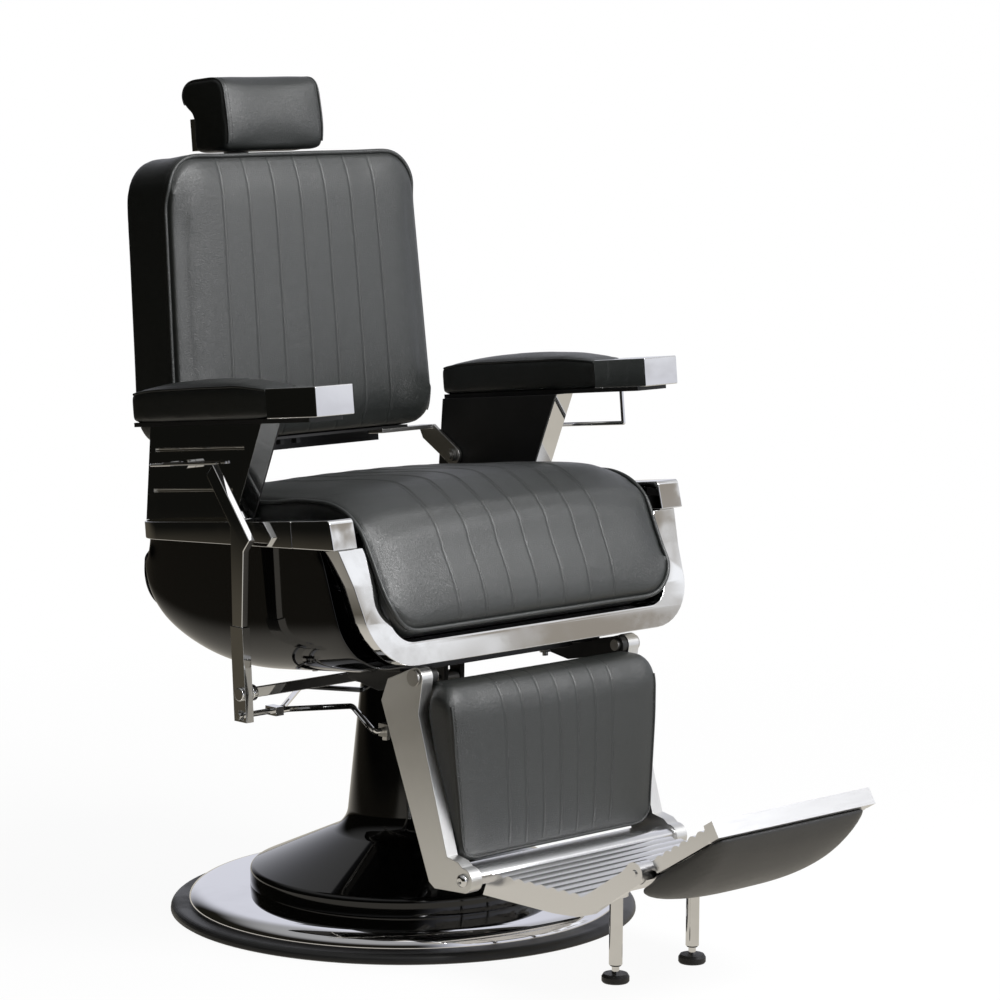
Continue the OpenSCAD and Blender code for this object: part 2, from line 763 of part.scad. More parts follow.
module scale_x(s) {
    if (s < 0) mirror([1, 0, 0]) children();
    if (s > 0) children();
}

// Cranked arm that joins the back's channel to a pivot bolt beside the seat
arm_plate_t = 6;
arm_plate_x = post_x - post_t - 1.5;      // outer face of the plate

module back_arm_right() {
    color(steel) tilted() difference() {
        union() {
            along_x(-arm_plate_x, -arm_plate_x + arm_plate_t) polygon(concat(
                arc(bolt_v, pivot_w, eye_r, 140, 320, 12),
                [[back_v + 42, back_w0 - 24], [back_v + 50, back_w0 - 4], [back_v + 18, back_w0 - 4]]));
            translate([-arm_plate_x, back_v + 18, back_w0 - 4 - arm_plate_t])
                cube([arm_plate_x - 150, 32, arm_plate_t]);
        }
        pin_x(-post_x, -post_x + post_t + 20, bolt_v, pivot_w, bolt_r + run_gap);
    }
}

module back_arm_left() {
    mirrored() back_arm_right();
}

module back_channel() {
    color(black) tilted() {
        translate([-200, back_v + 18, back_w0 - 4]) cube([400, 70, 4 - soft_gap]);
        translate([-200, back_v + 84, back_w0 - 22]) cube([400, 4, 18]);
        for (x = [-30, 0]) translate([x, back_v + 40, back_w0 - 12]) hex(12, 8);
    }
}

back_lines = [-150, -100, -50, 0, 50, 100, 150];

function back_half(w) = lerp(back_x0, back_x1, (w - back_w0) / (back_w1 - back_w0));

// Cross-section of the back cushion at the share t of its half width, (v, w)
function back_ring(x) = let (
        hw = back_x0,
        s = abs(x) / hw,
        cut0 = corner_cut(x, hw, 40),
        cut1 = corner_cut(x, hw, 52),
        low = back_w0 + cut0,
        high = back_w1 + 2 * (1 - s * s) - cut1,
        deep = back_t * (1 - 0.1 * pow(s, 8)))
    concat(
        [for (i = [0 : 8]) let (
                w = lerp(low + 8, high - 8, i / 8),
                f = 1 - pow(abs(2 * i / 8 - 1), 3),
                g = i > 0 && i < 8 ? channel(x, back_lines) : 0)
            [back_v - 9 * f * (1 - pow(s, 3)) + g, w]],
        [[back_v + 6, high], [back_v + deep * 0.5, high - 2], [back_v + deep - 16, high - 2],
         [back_v + deep - 4, high - 8], [back_v + deep, high - 22],
         [back_v + deep + 2, lerp(low, high, 0.5)], [back_v + deep + 2, low + 20],
         [back_v + deep - 4, low + 4], [back_v + deep - 14, low], [back_v + deep * 0.5, low + 1],
         [back_v + 8, low]]);

module back_cushion() {
    color(leather) tilted() loft([for (x = pad_stations(back_x0, 50, back_lines))
        [for (p = back_ring(x)) [x * back_half(p[1]) / back_x0, p[0], p[1]]]]);
}

board_in = 26;      // margin of the rear board inside the cushion's outline

// Rear board with rounded corners
module back_board() {
    v0 = back_v + back_t + 2 + soft_gap;
    color(black) tilted() difference() {
        along_y(v0, v0 + 5) {
            hull() {
                for (x = [-1, 1]) {
                    translate([x * (back_x0 - board_in - 24), back_w0 + board_in + 20]) circle(r = 20, $fn = 32);
                    translate([x * (back_x1 - board_in - 30), back_w1 - board_in - 30]) circle(r = 26, $fn = 32);
                }
            }
        }
    }
}

guide_w = 60;
bar_w = 40;
bar_t = 8;
bar_v = back_v + back_t + 16;      // middle of the headrest bar

// Sleeve on the rear board that the headrest bar slides in
module headrest_guide() {
    v0 = back_v + back_t + 7 + soft_gap;
    color(black) tilted() difference() {
        translate([-guide_w / 2, v0, back_w1 - 210]) cube([guide_w, bar_v + 8 - v0, 150]);
        translate([-bar_w / 2 - side_gap, bar_v - bar_t / 2 - side_gap, back_w1 - 220])
            cube([bar_w + 2 * side_gap, bar_t + 2 * side_gap, 170]);
    }
}

module headrest_bar() {
    color(chrome) tilted() translate([-bar_w / 2, bar_v - bar_t / 2, back_w1 - 205])
        cube([bar_w, bar_t, 260]);
}

head_w0 = back_w1 + 3 + head_gap;
head_v = 222;

// Side profile of the headrest: a pad with a roll behind its top, (v, w)
function head_profile() = let (
        w0 = head_w0,
        w1 = head_w0 + head_h,
        rear = head_v + head_t)
    concat(
        [[head_v + 6, w0], [head_v, w0 + 8], [head_v - 1, w0 + 0.35 * head_h], [head_v + 2, w0 + 0.7 * head_h]],
        [for (a = [180 : -22.5 : 90]) [head_v + 22 + 19 * cos(a), w1 - 19 + 19 * sin(a)]],
        [[rear - 30, w1], [rear - 16, w1 - 2]],
        [for (a = [60 : -30 : -60]) [rear - 19 + 19 * cos(a), w1 - 21 + 19 * sin(a)]],
        [[rear - 16, w1 - 42], [rear - 24, w1 - 50], [rear - 24, w0 + 10], [rear - 30, w0]]);

module headrest_cushion() {
    prof = head_profile();
    mid = [head_v + head_t * 0.42, head_w0 + head_h * 0.5];
    color(leather) tilted() loft([for (s = [[-1, 0.9], [-0.985, 0.955], [-0.94, 0.99], [-0.5, 1], [0, 1],
            [0.5, 1], [0.94, 0.99], [0.985, 0.955], [1, 0.9]])
        [for (p = prof) let (q = mid + (p - mid) * s[1]) [s[0] * head_x, q[0], q[1]]]]);
}

// Plate on the back of the headrest, with its four screws
module headrest_bracket() {
    v0 = head_v + head_t - 24 + soft_gap;
    color(chrome) tilted() {
        translate([-head_x + 8, v0, head_w0 + 4]) cube([2 * head_x - 16, bar_v - bar_t / 2 - v0, 46]);
        for (x = [-head_x + 20, head_x - 20], w = [14, 42])
            translate([x, bar_v - bar_t / 2, head_w0 + w]) rotate([-90, 0, 0]) cylinder(r = 4, h = 3, $fn = 24);
    }
}

// ---------- pump lever ----------

lever_y = 68;
lever_drop = 29;        // yoke rod below the lever's pivot
rod_z = lever_z - lever_drop;
socket_half = 12.5;
slot_high = rod_d + 5;

neck_w = 9;          // half width of the bar inside the socket
lean = [10, 2];       // how far the socket leans back at its top and its foot

function socket_y(z) = -lever_y + lerp(lean[1], lean[0], (z - rod_z + 9) / (lever_z + 89 - rod_z + 9));

module lever_socket() {
    z0 = rod_z - 9;
    z1 = lever_z + 89;
    color(chrome) difference() {
        along_x(-lever_x, -lever_x + lever_t) polygon([
            [socket_y(z1) - socket_half, z1], [socket_y(z1) + socket_half, z1],
            [socket_y(z0) + socket_half, z0], [socket_y(z0) - socket_half, z0]]);
        pin_x(-lever_x - 1, -lever_x + lever_t + 1, -lever_y, lever_z, bolt_r + run_gap);
        along_x(-lever_x - 1, -lever_x + lever_t + 1)
            translate([-lever_y, rod_z]) square([rod_d + 2, slot_high], center = true);
        along_x(-lever_x + 2.5, -lever_x + lever_t - 2.5) polygon(bar_end(z1 + 1));
    }
}

// End of the bent bar inside the socket
function bar_end(z1) = let (z0 = lever_z + 34)
    [[socket_y(z1) - neck_w, z1], [socket_y(z1) + neck_w, z1],
     [socket_y(z0) + neck_w, z0], [socket_y(z0) - neck_w, z0]];

// Bent flat bar that the hand holds, (y, z) from the lever's pivot
module lever_handle() {
    z1 = lever_z + 89;
    color(chrome) {
        along_x(-lever_x + 2.5, -lever_x + lever_t - 2.5) polygon(bar_end(z1));
        translate([0, -lever_y, lever_z]) along_x(-lever_x + 1, -lever_x + lever_t - 1) polygon([
            [lean[0] - neck_w - 1, 89], [-3, 191], [-5, 194], [-15.5, 207], [60, 302], [72.5, 286],
            [23.5, 223], [lean[0] + neck_w + 1, 89]]);
    }
}

bracket_h = 14;

module lever_bracket() {
    color(chrome) {
        translate([-lever_x + lever_t + side_gap, -lever_y - 3, lever_z - bracket_h / 2])
            cube([lever_x - lever_t - side_gap - mount_x, 6, bracket_h]);
        pin_x(-lever_x + lever_t + side_gap, -lever_x + lever_t + side_gap + 8, -lever_y, lever_z, 11);
        pin_x(-lever_x - 1, -lever_x + lever_t + side_gap + 1, -lever_y, lever_z, bolt_r);
        pin_x(-lever_x - 5, -lever_x - 0.5, -lever_y, lever_z, 9);
    }
}

// Yoke: a bent rod whose two branches pass in front of and behind the column
fork_x = -305;
fork_len = 14;
yoke_y0 = -92;      // front branch
yoke_y1 = 84;       // rear branch
cross_z = 284;      // height of the branches beside the column
yoke_far = 96;
bend_r = 12;

// Points of a path with each corner rounded by an arc of radius r
function rounded(p, r, n) = [for (i = [0 : len(p) - 1]) each
    i == 0 || i == len(p) - 1 ? [p[i]] : let (
        a = (p[i - 1] - p[i]) / norm(p[i - 1] - p[i]),
        b = (p[i + 1] - p[i]) / norm(p[i + 1] - p[i]),
        half = acos(a * b) / 2,
        bis = (a + b) / norm(a + b),
        c = p[i] + bis * r / sin(half),
        s = p[i] + a * r / tan(half),
        e = p[i] + b * r / tan(half))
    [for (k = [0 : n]) let (m = (s - c) * (1 - k / n) + (e - c) * k / n) c + m * r / norm(m)]];

// Tube of radius r along a path; the rings are square to it and turn with it
module tube(path, r, n) {
    k = len(path) - 1;
    t = [for (i = [0 : k]) let (d = path[min(k, i + 1)] - path[max(0, i - 1)]) d / norm(d)];
    side = [for (i = 0, u = cross(t[0], [0, 0, 1]); i <= k;
        i = i + 1, u = i <= k ? u - t[i] * (u * t[i]) : u) u / norm(u)];
    loft([for (i = [0 : k]) let (w = cross(t[i], side[i]))
        [for (a = [0 : 360 / n : 359]) path[i] + r * (side[i] * cos(a) + w * sin(a))]]);
}

module pump_yoke() {
    x0 = fork_x + fork_len;
    color(chrome) tube(rounded([[x0, -lever_y - 6, rod_z], [x0 + 12, -lever_y - 6, rod_z],
        [-180, yoke_y0, rod_z - 6], [-140, yoke_y0, cross_z], [yoke_far, yoke_y0, cross_z],
        [yoke_far, yoke_y1, cross_z], [-120, yoke_y1, rod_z - 10],
        [x0 + 12, -lever_y + 6, rod_z], [x0, -lever_y + 6, rod_z]], bend_r, 4), rod_d / 2, 12);
}

// Link that joins the yoke's two branches to the lever
module yoke_link() {
    color(chrome) {
        pin_x(-lever_x - 6, fork_x + 1, -lever_y, rod_z, rod_d / 2);
        translate([fork_x, -lever_y - 11, rod_z - 6]) cube([fork_len, 22, 12]);
    }
}

module yoke_clamps() {
    color(steel) for (x = [-118, -98]) difference() {
        union() {
            translate([x - 6, yoke_y0 - 9, cross_z - 9]) cube([12, 18, 18]);
            translate([x, yoke_y0, cross_z - 14]) hex(9, 5);
        }
        pin_x(x - 7, x + 7, yoke_y0, cross_z, rod_d / 2 + 0.02);
    }
}

rocker_y = 92;
rocker_z = 344;
rocker_w = 22;
lug_t = 8;

// Rocker that the yoke's front rod swings to work the pump
module pump_rocker() {
    color(steel) difference() {
        union() {
            along_x(-rocker_w / 2, rocker_w / 2) polygon(concat(
                arc(-rocker_y, rocker_z, 10, 0, 180, 10), arc(-rocker_y, cross_z, 12, 180, 360, 10)));
            pin_x(-rocker_w / 2 - lug_t - 4, rocker_w / 2 + lug_t + 4, -rocker_y, rocker_z, 4);
        }
        along_x(-rocker_w, rocker_w) translate([-rocker_y, cross_z])
            square([rod_d + 1, slot_high], center = true);
    }
}

// ---------- leg rest ----------

hinge_r = 8;
hinge_arm_t = 10;
hinge_arm_x = leg_x - leg_t - hinge_arm_t / 2 - side_gap;

// Arms under the tub that carry the leg rest's pivots
module leg_hinge_arms() {
    root_z = seat_z - tub_depth;
    color(black) for (s = [-1, 1]) difference() {
        union() {
            along_x(s * hinge_arm_x - hinge_arm_t / 2, s * hinge_arm_x + hinge_arm_t / 2) polygon(concat(
                arc(-leg_y, leg_z, hinge_r + 5, 60, 270, 14),
                [[-150, root_z - 18], [-90, root_z - 8], [-90, root_z + 8], [-200, root_z + 17.5]]));
            tilted() translate([s > 0 ? mount_x + 2 : -mount_x - 42, -178, -tub_depth - 5]) cube([40, 90, 5]);
        }
        pin_x(-leg_x, leg_x, -leg_y, leg_z, hinge_r + run_gap);
    }
}

// Pivot pins: pressed into the leg arms, turning in the arms under the tub
module leg_pivots() {
    color(steel) for (s = [-1, 1]) scale_x(s) {
        pin_x(-leg_x - 2, -leg_x + leg_t + hinge_arm_t + 5, -leg_y, leg_z, hinge_r);
        pin_x(-leg_x - 5, -leg_x - 2, -leg_y, leg_z, hinge_r + 3);
    }
}

// Outline of a leg arm, (y, z)
function leg_outline(d) = concat(
    [[-179 - d, 349], [-192 - d, 380 - d]],
    arc(-leg_y, leg_z, 14 - d, 80, 190, 8),
    [[-252 + d, 340], [-309 + d, 157 + d], [-330, 153 - d]],
    arc(-toe_y - 1, toe_z, 17 - d, 85, 275, 10),
    [[-285 - d * 0.4, 110 + d], [-274 - d, 117 + d]]);

module leg_arm_right() {
    color(steel) difference() {
        along_x(-leg_x, -leg_x + leg_t) polygon(leg_outline(0));
        along_x(-leg_x + 5, -leg_x + leg_t + 1) polygon([[-202, 334], [-236, 338], [-285, 178],
            [-258, 160]]);
        pin_x(-leg_x - 1, 0, -toe_y, toe_z, toe_r + 0.02);
        pin_x(-leg_x - 1, 0, -leg_y, leg_z, hinge_r + 0.02);
    }
}

module leg_arm_left() {
    mirrored() leg_arm_right();
}

leg_pad_top = 376;
leg_pad_low = 150;
leg_pad_front = 306;
leg_pad_x1 = 184;
leg_pad_x0 = 176;
leg_lines = [-108, -72, -36, 0, 36, 72, 108];

function leg_back(z) = -lerp(276, 243, (z - leg_pad_low) / (leg_pad_top - leg_pad_low));

// Cross-section of the leg pad at x, (y, z)
function leg_ring(x) = let (
        s = abs(x) / leg_pad_x1,
        cut = corner_cut(x, leg_pad_x1, 26),
        low = leg_pad_low + cut,
        high = leg_pad_top - cut,
        front = -leg_pad_front)
    concat(
        [[leg_back(low), low + 6], [-290, low], [front + 5, low + 1]],
        [for (i = [0 : 7]) let (
                f = 1 - pow(abs(2 * i / 7 - 1), 3),
                g = i > 0 && i < 7 ? channel(x, leg_lines) : 0)
            [front - 6 * f * (1 - pow(s, 3)) + g, lerp(low + 8, high - 12, i / 7)]],
        [[front + 6, high - 3], [front + 16, high], [leg_back(high) - 14, high], [leg_back(high) - 2, high - 5],
         [leg_back(high - 16), high - 16]]);

module leg_pad() {
    color(leather) loft([for (x = pad_stations(leg_pad_x1, 30, leg_lines))
        [for (p = leg_ring(x)) let (t = (p[1] - leg_pad_low) / (leg_pad_top - leg_pad_low))
            [x * lerp(leg_pad_x0, leg_pad_x1, t) / leg_pad_x1, p[0], p[1]]]]);
}

module leg_board() {
    color(black) along_x(-leg_x + leg_t, leg_x - leg_t) polygon([
        [leg_back(340) + soft_gap, 340], [leg_back(340) + 8, 340],
        [leg_back(170) + 8, 170], [leg_back(170) + soft_gap, 170]]);
}

module toe_rod() {
    color(steel) for (s = [-1, 1]) scale_x(s) {
        pin_x(-leg_x, 0, -toe_y, toe_z, toe_r);
        pin_x(-leg_x - 3, -leg_x, -toe_y, toe_z, toe_r + 3);
    }
}

// ---------- footplate ----------

rib_y0 = toe_y + 14;                       // first rib
flat_end = rib_y0 + foot_ribs * rib_pitch; // where the ramp begins
plate_top = toe_z + 5;
sheet_t = 6;
ramp_len = 110.5;
flip_y = flat_end + ramp_len * cos(ramp_slope) + 11 * sin(ramp_slope) - 6;
flip_z = plate_top + ramp_len * sin(ramp_slope) - 11 * cos(ramp_slope) - 3;
ear_r = 15;
wall_t = 9;
pin_r = 5;

// Scalloped line of ribs along +y, starting at (y0, z0)
function ribs(y0, z0, n, pitch, h) = [for (i = [0 : n * 6]) let (t = i / 6)
    [y0 + t * pitch, z0 + h * abs(sin(180 * t)) - h * 0.5]];

function flip_out(list) = [for (p = list) [-p[0], p[1]]];

ramp_stop = [flip_y - 20, plate_top + (flip_y - 20 - flat_end) * tan(ramp_slope)];

// Top of the footplate from its rear edge to the top of the ramp, y measured forwards
function plate_line() = concat(ribs(rib_y0, plate_top, foot_ribs, rib_pitch, rib_h),
    [[flat_end + 6, plate_top + 0.5], ramp_stop]);

module footplate() {
    top = plate_line();
    color(steel) difference() {
        union() {
            along_x(-foot_x, foot_x) polygon(flip_out(concat(
                [[rib_y0 - 4, plate_top - sheet_t]], [[rib_y0 - 4, plate_top]], top,
                [[ramp_stop[0], ramp_stop[1] - sheet_t], [flat_end + 8, plate_top - sheet_t]])));
            for (s = [-1, 1]) along_x(s * (foot_x - wall_t / 2) - wall_t / 2, s * (foot_x - wall_t / 2) + wall_t / 2)
                polygon(flip_out(concat(
                    [[toe_y - 4, toe_z - 26], [toe_y + 8, toe_z + 4]], top,
                    arc(flip_y, flip_z, ear_r, 130, -60, 10),
                    [[flat_end + 46, toe_z + 2], [flat_end + 20, toe_z - 16], [flat_end - 6, toe_z - 24],
                     [flat_end - 50, toe_z - 27]])));
            pin_x(-leg_x + leg_t + side_gap, leg_x - leg_t - side_gap, -toe_y, toe_z, 10);
            translate([-foot_x, -rib_y0 - 4, toe_z - 3]) cube([2 * foot_x, 14, 7]);
            for (s = [-1, 1]) {
                translate([s * support_x, -support_y, toe_z - 14]) cylinder(r = 16, h = 15);
                along_x(s * (foot_x - wall_t - 8) - 8, s * (foot_x - wall_t - 8) + 8)
                    polygon(flip_out(concat(arc(flip_y, flip_z, ear_r, 110, -30, 8),
                        [[flip_y - 24, flip_z - 8], [flip_y - 26, ramp_stop[1] - 4]])));
            }
        }
        pin_x(-leg_x, leg_x, -toe_y, toe_z, toe_r + run_gap);
        pin_x(-leg_x, leg_x, -flip_y, flip_z, pin_r + run_gap);
        for (s = [-1, 1]) translate([s * support_x, -support_y, toe_z - 30]) cylinder(r = 9, h = 26);
    }
}

support_r = 9;

module support_legs() {
    color(chrome) for (s = [-1, 1]) translate([s * support_x, -support_y, 0]) {
        translate([0, 0, 22]) cylinder(r1 = support_r - 1.5, r2 = support_r, h = 2);
        translate([0, 0, 24]) cylinder(r = support_r, h = toe_z - 4 - 24);
        translate([0, 0, 12]) cylinder(r = 5, h = 11);
    }
}

module rubber_feet() {
    color(black) for (s = [-1, 1]) translate([s * support_x, -support_y, 0]) rotate_extrude()
        polygon([[0, 0], [17, 0], [18.5, 2], [18.5, 8], [16, 12], [0, 12]]);
}

// ---------- flip plate ----------

knuckle_x = foot_x - wall_t - 16 - side_gap;
flip_t = 10;
flip_x = foot_x - wall_t - 6;      // half width of the flip plate

module flip_plate() {
    u0 = 24;
    top = 6;
    line = concat([[u0, top]], ribs(u0 + 4, top, 6, (flip_len - 24 - u0) / 6, rib_h),
        [[flip_len - 17, top], [flip_len - 16, top + 5], [flip_len, top + 5]]);
    color(steel) on_flip() difference() {
        union() {
            along_x(-flip_x, flip_x) polygon(flip_out(concat(line,
                [[flip_len, -12], [flip_len - 16, -12], [flip_len - 18, top - flip_t], [u0, top - flip_t]])));
            for (s = [-1, 1]) along_x(s * (flip_x - wall_t / 2) - wall_t / 2, s * (flip_x - wall_t / 2) + wall_t / 2)
                polygon(flip_out([[u0, top], [u0, -11], [u0 + 20, -12], [flip_len - 20, -12], [flip_len - 10, 0]]));
            along_x(-knuckle_x, knuckle_x) polygon(flip_out([[0, 4], [u0 + 2, 4], [u0 + 2, top - flip_t], [0, -9]]));
            pin_x(-knuckle_x, knuckle_x, 0, 0, 11);
            pin_x(-foot_x - 2, foot_x + 2, 0, 0, pin_r);
        }
    }
}

pad_u0 = -28;
pad_u1 = 141;
pad_n = -12 - soft_gap;

// Cross-section of the flip plate's pad at x, (u, n), hanging under the plate
function flip_ring(x) = let (
        hw = 148,
        s = abs(x) / hw,
        cut = corner_cut(x, hw, 24),
        full = 1 - 0.42 * pow(s, 3) - cut / 90,
        u0 = pad_u0 + cut * 0.7,
        u1 = pad_u1 - cut * 0.7)
    [[u1, pad_n], [lerp(u0, u1, 0.9), -15 - 12 * full], [lerp(u0, u1, 0.75), -15 - 26 * full],
     [lerp(u0, u1, 0.58), -15 - 35 * full], [lerp(u0, u1, 0.4), -15 - 38 * full],
     [lerp(u0, u1, 0.22), -15 - 35 * full], [lerp(u0, u1, 0.08), -15 - 27 * full],
     [u0, -15 - 16 * full], [u0 + 2, -15 - 6 * full], [u0 + 20, -16.5], [u0 + 36, pad_n], [80, pad_n]];

module flip_pad() {
    color(leather) on_flip() loft([for (x = [-148, -146, -140, -130, -115, -90, -60, -30, 0, 30, 60, 90,
            115, 130, 140, 146, 148])
        [for (p = flip_ring(x)) [x, -p[0], p[1]]]]);
}

// ---------- the chair ----------

base_plate();
rubber_rim();
bell_cover();
cover_collar();
pump_socket();
socket_bolts();
pump_cylinder();
pump_ram();
seat_mount();
mount_bolts();
seat_frame();
seat_pan();
seat_cushion();
seat_tub();
front_band();
rail_left();
rail_right();
rail_corner_left();
rail_corner_right();
arm_post_left();
arm_post_right();
arm_lining_left();
arm_lining_right();
arm_board_left();
arm_board_right();
arm_cap_left();
arm_cap_right();
arm_pad_left();
arm_pad_right();
towel_bar();
lever_bracket();
recline_bolts();
leg_hinge_arms();
lever_socket();
lever_handle();
yoke_link();
pump_yoke();
yoke_clamps();
pump_rocker();
release_handle();
back_cushion();
back_board();
back_arm_left();
back_arm_right();
back_channel();
headrest_guide();
headrest_bar();
headrest_bracket();
headrest_cushion();
leg_arm_left();
leg_arm_right();
leg_pad();
leg_board();
leg_pivots();
toe_rod();
footplate();
support_legs();
rubber_feet();
flip_plate();
flip_pad();
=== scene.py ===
# %% [markdown]
# # A hydraulic barber chair
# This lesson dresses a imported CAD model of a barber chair. The rigid parts, their places and
# their joints come from the frame, and stay where they are. Each step adds one finish or one
# soft part. All lengths are in metres, and the chair stands at the origin with its sitter
# facing -Y, so every finished piece keeps its object at the origin and its place in its mesh.

# %% Load the frame
import json
import math
import time

import bmesh
import bpy
import numpy as np
from mathutils import Matrix, Vector
from mathutils.bvhtree import BVHTree
from mathutils.kdtree import KDTree

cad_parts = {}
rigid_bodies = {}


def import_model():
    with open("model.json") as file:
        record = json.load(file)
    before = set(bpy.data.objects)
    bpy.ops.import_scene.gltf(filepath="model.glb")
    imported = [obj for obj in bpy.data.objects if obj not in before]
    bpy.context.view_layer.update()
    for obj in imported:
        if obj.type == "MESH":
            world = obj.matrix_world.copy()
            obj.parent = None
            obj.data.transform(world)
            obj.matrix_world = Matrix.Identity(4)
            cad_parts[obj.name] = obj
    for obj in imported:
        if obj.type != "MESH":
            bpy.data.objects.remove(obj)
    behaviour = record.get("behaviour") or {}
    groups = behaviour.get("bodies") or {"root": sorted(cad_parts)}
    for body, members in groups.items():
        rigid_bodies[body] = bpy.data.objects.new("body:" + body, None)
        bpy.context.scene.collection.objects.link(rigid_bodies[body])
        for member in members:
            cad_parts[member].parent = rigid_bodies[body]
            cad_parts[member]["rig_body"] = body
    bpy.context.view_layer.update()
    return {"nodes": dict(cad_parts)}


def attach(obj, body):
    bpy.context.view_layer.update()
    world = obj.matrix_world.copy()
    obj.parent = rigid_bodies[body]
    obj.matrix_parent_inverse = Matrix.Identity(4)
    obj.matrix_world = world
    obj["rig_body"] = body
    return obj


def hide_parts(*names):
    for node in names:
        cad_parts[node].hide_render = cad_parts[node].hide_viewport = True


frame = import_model()
nodes = frame["nodes"]

# %% [markdown]
# ## Objects and meshes
# Three small helpers are needed all the way through: one links a new object to the scene, and
# two carry a shape from a bmesh to a mesh and back.

# %% Objects and meshes
scene = bpy.context.scene
scene.view_settings.view_transform = "Standard"


def linked_object(name, data):
    thing = bpy.data.objects.new(name, data)
    scene.collection.objects.link(thing)
    return thing


def mesh_from(bm, name="shape"):
    mesh = bpy.data.meshes.new(name)
    bm.to_mesh(mesh)
    bm.free()
    return mesh


def bmesh_from(mesh):
    bm = bmesh.new()
    bm.from_mesh(mesh)
    return bm


# %% [markdown]
# ## The camera
# The view is a long lens a little above the seat, off the sitter's right knee. A camera is
# aimed by its own axes: the direction it looks back along, then right and up, rolled a touch.
# Writing the three axes into a matrix is exact, where a tracking constraint would hide the roll.

# %% Camera
VIEW_AZIMUTH = math.radians(-44.0003)
VIEW_HEIGHT = math.radians(7.5568)
VIEW_ROLL = math.radians(0.3574)
CAMERA_PLACE = Vector((-3.42427, -3.73802, 1.25562))
IMAGE_SIZE = 1000
FOCAL_PIXELS = 3646.84
SENSOR = 36


def aimed_camera(place, azimuth, height, roll, focal_pixels):
    back = Vector((math.sin(azimuth) * math.cos(height),
                   -math.cos(azimuth) * math.cos(height), math.sin(height)))
    level = Vector((math.cos(azimuth), math.sin(azimuth), 0))
    upward = back.cross(level)
    right = level * math.cos(roll) + upward * math.sin(roll)
    up = upward * math.cos(roll) - level * math.sin(roll)
    camera = linked_object("studio_camera", bpy.data.cameras.new("studio_camera"))
    turn = Matrix((right, up, back)).transposed().to_4x4()
    camera.matrix_world = Matrix.Translation(place) @ turn
    camera.data.sensor_width = SENSOR
    camera.data.lens = SENSOR * focal_pixels / IMAGE_SIZE
    scene.camera = camera
    return camera


camera = aimed_camera(CAMERA_PLACE, VIEW_AZIMUTH, VIEW_HEIGHT, VIEW_ROLL, FOCAL_PIXELS)
print("lens:", round(camera.data.lens, 1), "mm")

# %% [markdown]
# ## Small helpers for shader nodes
# A material is a graph of nodes. These short functions keep the graphs below readable: one adds
# a node with its values and links, and the others add the few kinds that are used most.

# %% Node helpers
def add_node(tree, kind, values=None, **settings):
    """Add a node. A value that is a socket is linked, and any other is set."""
    node = tree.nodes.new(kind)
    for key, value in settings.items():
        setattr(node, key, value)
    for key, value in (values or {}).items():
        if isinstance(value, bpy.types.NodeSocket):
            tree.links.new(value, node.inputs[key])
        else:
            node.inputs[key].default_value = value
    return node


def math_node(tree, operation, *terms):
    return add_node(tree, "ShaderNodeMath", dict(enumerate(terms)), operation=operation).outputs[0]


def blend_colours(tree, mask, low, high):
    node = add_node(tree, "ShaderNodeMix", {"Factor": mask}, data_type="RGBA")
    for key, value in (("A", low), ("B", high)):
        socket = next(s for s in node.inputs if s.name == key and s.type == "RGBA")
        if isinstance(value, bpy.types.NodeSocket):
            tree.links.new(value, socket)
        else:
            socket.default_value = (*value, 1)
    return next(s for s in node.outputs if s.type == "RGBA")


def eased_range(tree, value, start, end):
    return add_node(tree, "ShaderNodeMapRange",
                    {"Value": value, "From Min": start, "From Max": end},
                    interpolation_type="SMOOTHSTEP").outputs["Result"]


def fade(tree, value, start, end, low, high):
    """Go from one colour to another while the value goes from start to end."""
    return blend_colours(tree, eased_range(tree, value, start, end), low, high)


def noise_mask(tree, place, scale, detail=2.0, rough=0.5):
    return add_node(tree, "ShaderNodeTexNoise", {"Vector": place, "Scale": scale, "Detail": detail,
                                                 "Roughness": rough}).outputs["Fac"]


def object_place(tree):
    return add_node(tree, "ShaderNodeTexCoord").outputs["Object"]


# the detail and roughness of a patchy mask, for what polished metal shows mottled
PATCH_DETAIL, PATCH_ROUGH = 5.0, 0.62

# %% [markdown]
# ## Studio light
# Chrome and gloss paint show the room, so the room is painted first. A bright white wall
# stands to the right and behind, and the left side of the room is dark. Glossy rays see that
# room. All other light comes from the front and a little from the right, which is what makes
# the sewn faces paler than the sides. The camera itself sees plain white.

# %% World
WALL_WHITE = (0.74, 0.75, 0.82)
ROOM_DARK = (0.012, 0.011, 0.008)
CEILING = (0.40, 0.40, 0.40)
FRONT_LIGHT = (0.55, 0.55, 0.55)
LEFT_LIGHT = (0.030, 0.030, 0.030)
TOP_LIGHT = (0.40, 0.40, 0.40)
WINDOW = (1.10, 1.12, 1.16)
WINDOW_SHADE = (0.34, 0.31, 0.27)
WINDOW_WAY = (0.68, -0.57, 0.47)


